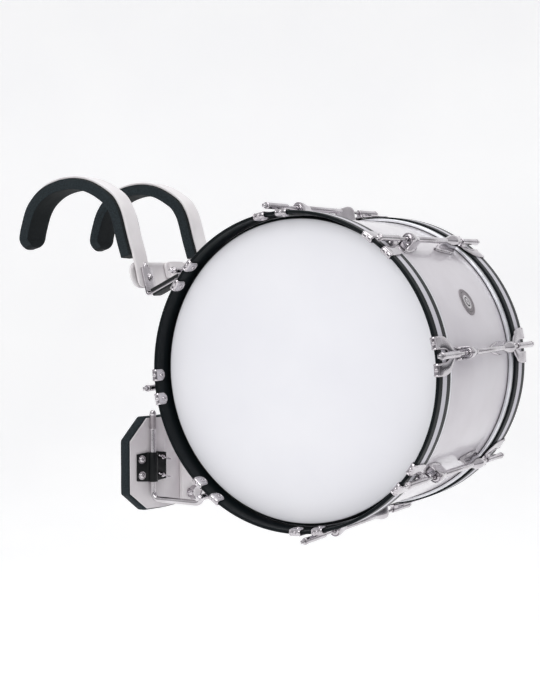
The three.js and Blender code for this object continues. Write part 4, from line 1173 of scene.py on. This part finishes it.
# The strap's corners are cut, and its inner end tapers.
for v in bm.verts:
    along, height = (v.co.xy - SEAT).dot(ALONG), v.co.z - CLAMP_MIDDLE
    if abs(along) > CORNER_ALONG and abs(height) > CORNER_HEIGHT:
        v.co.z -= math.copysign(CORNER_CUT, height)
    if along > TAPER_FROM:
        v.co.z = CLAMP_MIDDLE + height * (1 - TAPER * (along - TAPER_FROM) / TAPER_LENGTH)
clamp = to_object(bm, "right_rod_clamp_strap", CARRIER_PLACE, sharp=40)
mirrored = linked("left_rod_clamp_strap", clamp.data.copy())
mirrored.data.transform(Matrix.Scale(-1, 4, (0, 1, 0)))
mirrored.data.flip_normals()
for strap, side in ((clamp, "right"), (mirrored, "left")):
    hand_over(strap, "belly_unit", black_enamel, [f"{side}_rod_clamp"])

# %% Clamp fasteners
screw_seats, wing_seats = [], []
for sign in (1, -1):
    facing = Vector((OFF.x, sign * OFF.y, 0))
    for side in (-1, 1):
        for seats, along, height, spin in ((screw_seats, -24, 16.0, 240 * side), (wing_seats, 23, 18.0, 52)):
            p = clamp_point(along, STRAP_TOP)
            seats.append((Vector((p.x, sign * p.y, CLAMP_MIDDLE + side * height)), facing, spin))
for name, pattern, metal, seats in (("clamp_screws", dome_bolt, steel, screw_seats),
                                    ("clamp_wing_nuts", small_wing, chrome, wing_seats)):
    hand_over(on_seats(name, pattern, metal, seats), "belly_unit", metal)

# %% Support rods: the line of one
LEG_RISE, CONTACT = math.radians(68), math.radians(221.5)
LEG_UP = Vector((math.cos(LEG_RISE), math.sin(LEG_RISE)))
ROD_RADIUS, ROD_BEND, LEVEL_Z, TIP_RADIUS, CAP_Z = 5.95, 14, -454.0, 9.0, -285.0
TOUCH_RADIUS, IN_TIP = 280.0, 22     # where the tip meets the drum, and how deep the rod ends in the tip
contact = (DRUM_CENTRE - CARRIER_PLACE).xz + Vector((math.cos(CONTACT), math.sin(CONTACT))) * TOUCH_RADIUS
tip_end = contact + Vector((-LEG_UP.y, LEG_UP.x)) * TIP_RADIUS
corner = tip_end - LEG_UP * ((tip_end.y - LEVEL_Z) / LEG_UP.y)
level_from, level_to = ROD_X + ROD_BEND, corner.x - ROD_BEND * math.tan(LEG_RISE / 2)
rod_line = [(ROD_X, z) for z in (-281, -300, -330, -360, -390, -420)]
rod_line += arc(level_from, LEVEL_Z + ROD_BEND, ROD_BEND, 180, 270, 12)
rod_line += [(level_from + (level_to - level_from) * k / 6, LEVEL_Z) for k in range(1, 6)]
rod_line += arc(level_to, LEVEL_Z + ROD_BEND, ROD_BEND, -90, -22, 10)
leg_from, leg_to = Vector(rod_line[-1]), tip_end - LEG_UP * IN_TIP
rod_line += [tuple(leg_from.lerp(leg_to, k / 4)) for k in range(1, 5)]

# %% Support rods and their tips
# The cap nut, its collar and the sleeve under it, and the ribbed rubber tip.
CAP = [(0, 8.6), (2.2, 8.4), (4.2, 7.2), (5.6, 5.2), (5.7, 2.2), (6.9, 1.9), (6.9, -1.0), (6.5, -1.6),
       (6.4, -2.0), (6.4, -29.0), (6.1, -29.8), (0, -29.8)]
TIP = [(0, 0), (7.4, 0), (8.7, 0.7), (9.0, 2.0), (9.0, 11), (8.5, 11.8), (9.0, 12.6), (9.0, 21), (8.5, 21.8),
       (9.0, 22.6), (9.0, 40), (8.6, 43.4), (7.4, 45.6), (5.3, 46.0), (0, 46.0)]
SLEEVE = (-29, -2)
TIP_TURN = Vector((0, 1, 0)).rotation_difference(Vector((-LEG_UP.x, 0, -LEG_UP.y))).to_matrix().to_4x4()


def tube(bm, line, radius, sides):
    """A round bar along points in one plane of constant y."""
    side = Vector((0, 1, 0))
    turns = [math.tau * k / sides for k in range(sides)]
    skin(bm, [[p + side * (radius * math.cos(t)) + ahead.cross(side) * (radius * math.sin(t)) for t in turns]
              for p, ahead in zip(line, headings(line))])


def rod_paint(face):
    """The sleeve is satin, and the rest is bright."""
    return 1 if SLEEVE[0] < face.center.z * 1000 - CARRIER_PLACE.z - CAP_Z < SLEEVE[1] else 0


for side, sign in SIDES:
    y = sign * SUPPORT_Y
    bm = bmesh.new()
    tube(bm, [Vector((x, y, z)) for x, z in rod_line], ROD_RADIUS, 24)
    merged(bm, shifted(upright(lathe(CAP, 24, closed=False)), x=ROD_X, y=y, z=CAP_Z))
    rod_piece = to_object(bm, f"{side}_bent_support_rod", CARRIER_PLACE, sharp=35)
    painted(rod_piece, (steel, satin_steel), rod_paint)
    hand_over(rod_piece, f"{side}_support", steel, [f"{side}_support_rod"])
    bm = transformed(lathe(TIP, 32, closed=False), TIP_TURN)
    piece(shifted(bm, x=tip_end.x, y=y, z=tip_end.y), f"{side}_rubber_tip", f"{side}_support", rubber, "foam",
          [f"{side}_support_rod"])

# %% [markdown]
# ## The drum hooks
# A hook is a flat steel bar bolted to the foot of a shoulder bar. It runs forward and up, and its finger
# lies under a key rod of the drum's top lug. A rubber strip on the arm keeps the drum from knocking.

# %% The hooks' line
HOOK_Y, HOOK_OUT, HOOK_HALF_THICK, HOOK_HALF_WIDTH = 112.0, 7.6, 2.5, 17
ARM_START, ARM_CREST = Vector((-125, -49)), Vector((-38.84, -7.35))
TURNS = [on_foot(38, HOOK_OUT), on_foot(0, HOOK_OUT), ARM_START, ARM_CREST]


def rounded_path(points, radius, steps=6):
    """An open path with its inner corners rounded."""
    made = points[:1]
    for a, p, b in zip(points, points[1:], points[2:]):
        into, out = a - p, b - p
        r = min(radius, into.length * 0.45, out.length * 0.45)
        one, two = p + into.normalized() * r, p + out.normalized() * r
        made += [one.lerp(p, t).lerp(p.lerp(two, t), t) for t in (k / steps for k in range(steps + 1))]
    return made + points[-1:]


def flat_bar(bm, path, y, half_width, low, high, edge, ends=0.0):
    """A flat bar along a path in an XZ plane, from low to high on its left."""
    runs = [0.0]
    for a, b in zip(path, path[1:]):
        runs.append(runs[-1] + (b - a).length)
    sections = []
    for p, ahead, run in zip(path, headings(path), runs):
        w = end_width(min(run, runs[-1] - run), half_width, ends) if ends else half_width
        sections.append([(p.x - ahead.y * h, y + a, p.y + ahead.x * h) for a, h in
                         filleted([(w, low), (w, high), (-w, high), (-w, low)], edge, 3)])
    skin(bm, sections)


bent = rounded_path(TURNS, 7)
hook_line = [bent[0].lerp(bent[1], t) for t in (0, 0.04, 0.1, 0.2, 0.35, 0.6)] + bent[1:-1]
hook_line += [bent[-1].lerp(bent[-2], k / 5) for k in (4, 3, 2, 1, 0)]

# %% Hooks
FINGER_TOP, FINGER_BACK, FINGER_TIP = -3.35, -44, 10
FINGER_ACROSS, BRACKET_ACROSS = (120, 142), (100, 141)
finger_low = FINGER_TOP - 8
FINGER = filleted([(FINGER_BACK, finger_low), (FINGER_TIP, finger_low), (FINGER_TIP, FINGER_TOP + 2.4),
                   (7.5, FINGER_TOP + 2.4), (5, FINGER_TOP), (FINGER_BACK, FINGER_TOP)],
                  [1, 3.5, 1.2, 1.0, 0.8, 1], 3)
BRACKET = filleted([(FINGER_BACK, finger_low), (-30, finger_low), (-30, FINGER_TOP),
                    (FINGER_BACK, FINGER_TOP)], 1, 2)
STRIP = [ARM_START.lerp(ARM_CREST, t) for t in
         (0.10, 0.11, 0.13, 0.16, 0.3, 0.5, 0.7, 0.84, 0.87, 0.89, 0.90)]
for side, sign in SIDES:
    bm = bmesh.new()
    flat_bar(bm, hook_line, sign * HOOK_Y, HOOK_HALF_WIDTH, -HOOK_HALF_THICK, HOOK_HALF_THICK, 1.0)
    block = bmesh.new()
    plate(block, FINGER, lambda a, b, d: (a, sign * d, b), *FINGER_ACROSS, 0.8)
    plate(block, BRACKET, lambda a, b, d: (a, sign * d, b), *BRACKET_ACROSS, 0.6)
    merged(bm, outward(block))
    piece(bm, f"{side}_hook_arm", "carrier", chrome, "chrome", [f"{side}_drum_hook"], sharp=40)
    bm = bmesh.new()
    flat_bar(bm, STRIP, sign * HOOK_Y, 17.6, 0.6, 7.6, 1.4, ends=5)
    flat_bar(bm, STRIP, sign * HOOK_Y, 16.0, -6.0, -2.3, 1.2, ends=5)
    piece(bm, f"{side}_rubber_strip", "carrier", rubber, "foam", sharp=40)

# %% Carrier bolts
# (height up the foot, how far it stands out, across, spin) of the bolts in the bars, hooks and spine
FOOT_BOLTS = ((41, 4.8, 110, 20), (17.5, HOOK_OUT + HOOK_HALF_THICK, 109, 50), (25.5, 3.4, 14, 0))
facing = Vector((OUT_FOOT.x, 0, OUT_FOOT.y))
bolt_seats = [(Vector(foot_space(sign * across, height, out)), facing, spin)
              for sign in (-1, 1) for height, out, across, spin in FOOT_BOLTS]
carrier_bolts = on_seats("carrier_bolts", dome_bolt, steel, bolt_seats)
hand_over(carrier_bolts, "carrier", steel)

# %% [markdown]
# ## The wing bolt
# One wing bolt in the spine clamps it to the belly plate through the plate's slot. It is the wing nut's
# pattern again, larger, with a washer and a shank.

# %% Wing bolt
BOLT_X, BOLT_Z = -111.7, -456.0
SHANK = [(0, -11), (3.6, -11), (4.0, -10.4), (4.0, -0.2), (9.4, -0.2), (9.6, 0.1), (9.6, 1.1), (9.2, 1.4),
         (0, 1.4)]
big_wing = wing_nut("wing_bolt_pattern", 7.0, 8.5, 34, 18.0, 3.0)
bm = in_mm(big_wing.data)
merged(bm, outward(upright(lathe(SHANK, 24, closed=False))))
stand = Vector((0, 0, 1)).rotation_difference(Vector((1, 0, 0))).to_matrix().to_4x4()
shifted(transformed(bm, stand), x=BOLT_X, z=BOLT_Z)
piece(bm, "spine_wing_screw", "wing_bolt", chrome, "chrome", ["spine_wing_bolt"], recalc=False)
for pattern in (big_wing, small_wing, dome_bolt, pan_screw):
    thrown_away(pattern)

# %% [markdown]
# ## The floor and the light
# The drum is shown as it hangs on a player, so the floor is far below it. A pale floor that curves up
# into a backdrop gives no edge behind the drum, and it glows a little, as lit paper does. The light is
# soft: a pale surround with a dark band at the horizon, which the chrome mirrors, one large panel in
# front, one above, and a faint strip on the right.

# %% Floor and backdrop
FLOOR_Z, FLOOR_BACK, CURVE, WALL_TOP = -1.35, 4.0, 1.8, 6.0
paper = finish("plain_paper", ("#f6f6f7", "#fafafa", 900), Roughness=0.9, Emission_Strength=0.24,
               Emission_Color=linear("#ffffff"))
line = [(-6.0, 0.0), (FLOOR_BACK, 0.0)]
line += [(FLOOR_BACK + CURVE * math.sin(t), CURVE - CURVE * math.cos(t)) for t in
         (math.radians(a) for a in range(10, 91, 10))] + [(FLOOR_BACK + CURVE, WALL_TOP)]
ahead = Vector((LOOK.x, LOOK.y, 0)).normalized()
beside = Vector((-ahead.y, ahead.x, 0))
bm = bmesh.new()
skin(bm, [[ahead * a + beside * w + Vector((0, 0, FLOOR_Z + h)) for w in (-8, -4, 0, 4, 8)] for a, h in line],
     ring=False)
floor = to_object(bm, "floor_and_backdrop", scale=1.0)
floor.data.materials.append(paper)
if any(face.normal.z < 0 or (abs(face.normal.z) < 0.5 and face.normal.dot(ahead) > 0)
       for face in floor.data.polygons):
    floor.data.flip_normals()

# %% Surround
SURROUND_STRENGTH = 0.68
# (height from 0 at the bottom to 1 at the top, colour)
SURROUND = ((0.30, "#e6e6e8"), (0.47, "#cdcdd1"), (0.49, "#5c5c61"), (0.51, "#66666b"), (0.55, "#ededf0"))
world = bpy.data.worlds.new("studio")
bpy.context.scene.world = world
world.use_nodes = True
surround = world.node_tree
direction = add(surround, "ShaderNodeTexCoord").outputs["Generated"]
height = add(surround, "ShaderNodeSeparateXYZ", Vector=direction)
share = add(surround, "ShaderNodeMapRange", Value=height.outputs["Z"], From_Min=-1.0, From_Max=1.0)
sky = add(surround, "ShaderNodeValToRGB", Fac=share.outputs["Result"])
for position, shade in SURROUND:
    sky.color_ramp.elements.new(position).color = linear(shade)
sky.color_ramp.elements.remove(sky.color_ramp.elements[0])
sky.color_ramp.elements[-1].color = linear("#ffffff")
background = surround.nodes["Background"]
surround.links.new(sky.outputs["Color"], background.inputs["Color"])
background.inputs["Strength"].default_value = SURROUND_STRENGTH
bpy.context.scene.view_settings.view_transform = "Standard"

# %% Panels
def panel(name, position, size, power):
    """A rectangle of light, size metres wide and high, that looks at the drum's centre."""
    data = bpy.data.lights.new(name, "AREA")
    data.shape, data.energy = "RECTANGLE", power
    data.size, data.size_y = size
    light = linked(name, data)
    light.location = position
    light.rotation_euler = (DRUM_CENTRE * MM - Vector(position)).to_track_quat("-Z", "Y").to_euler()


panel("key_panel", (0.5, -3.0, 1.3), (1.9, 1.9), 34)
panel("top_panel", (0.6, 0.2, 2.2), (2.4, 2.0), 26)
panel("strip_panel", (2.8, -0.9, 0.3), (0.5, 2.2), 2)
print("lights set, floor at", FLOOR_Z)
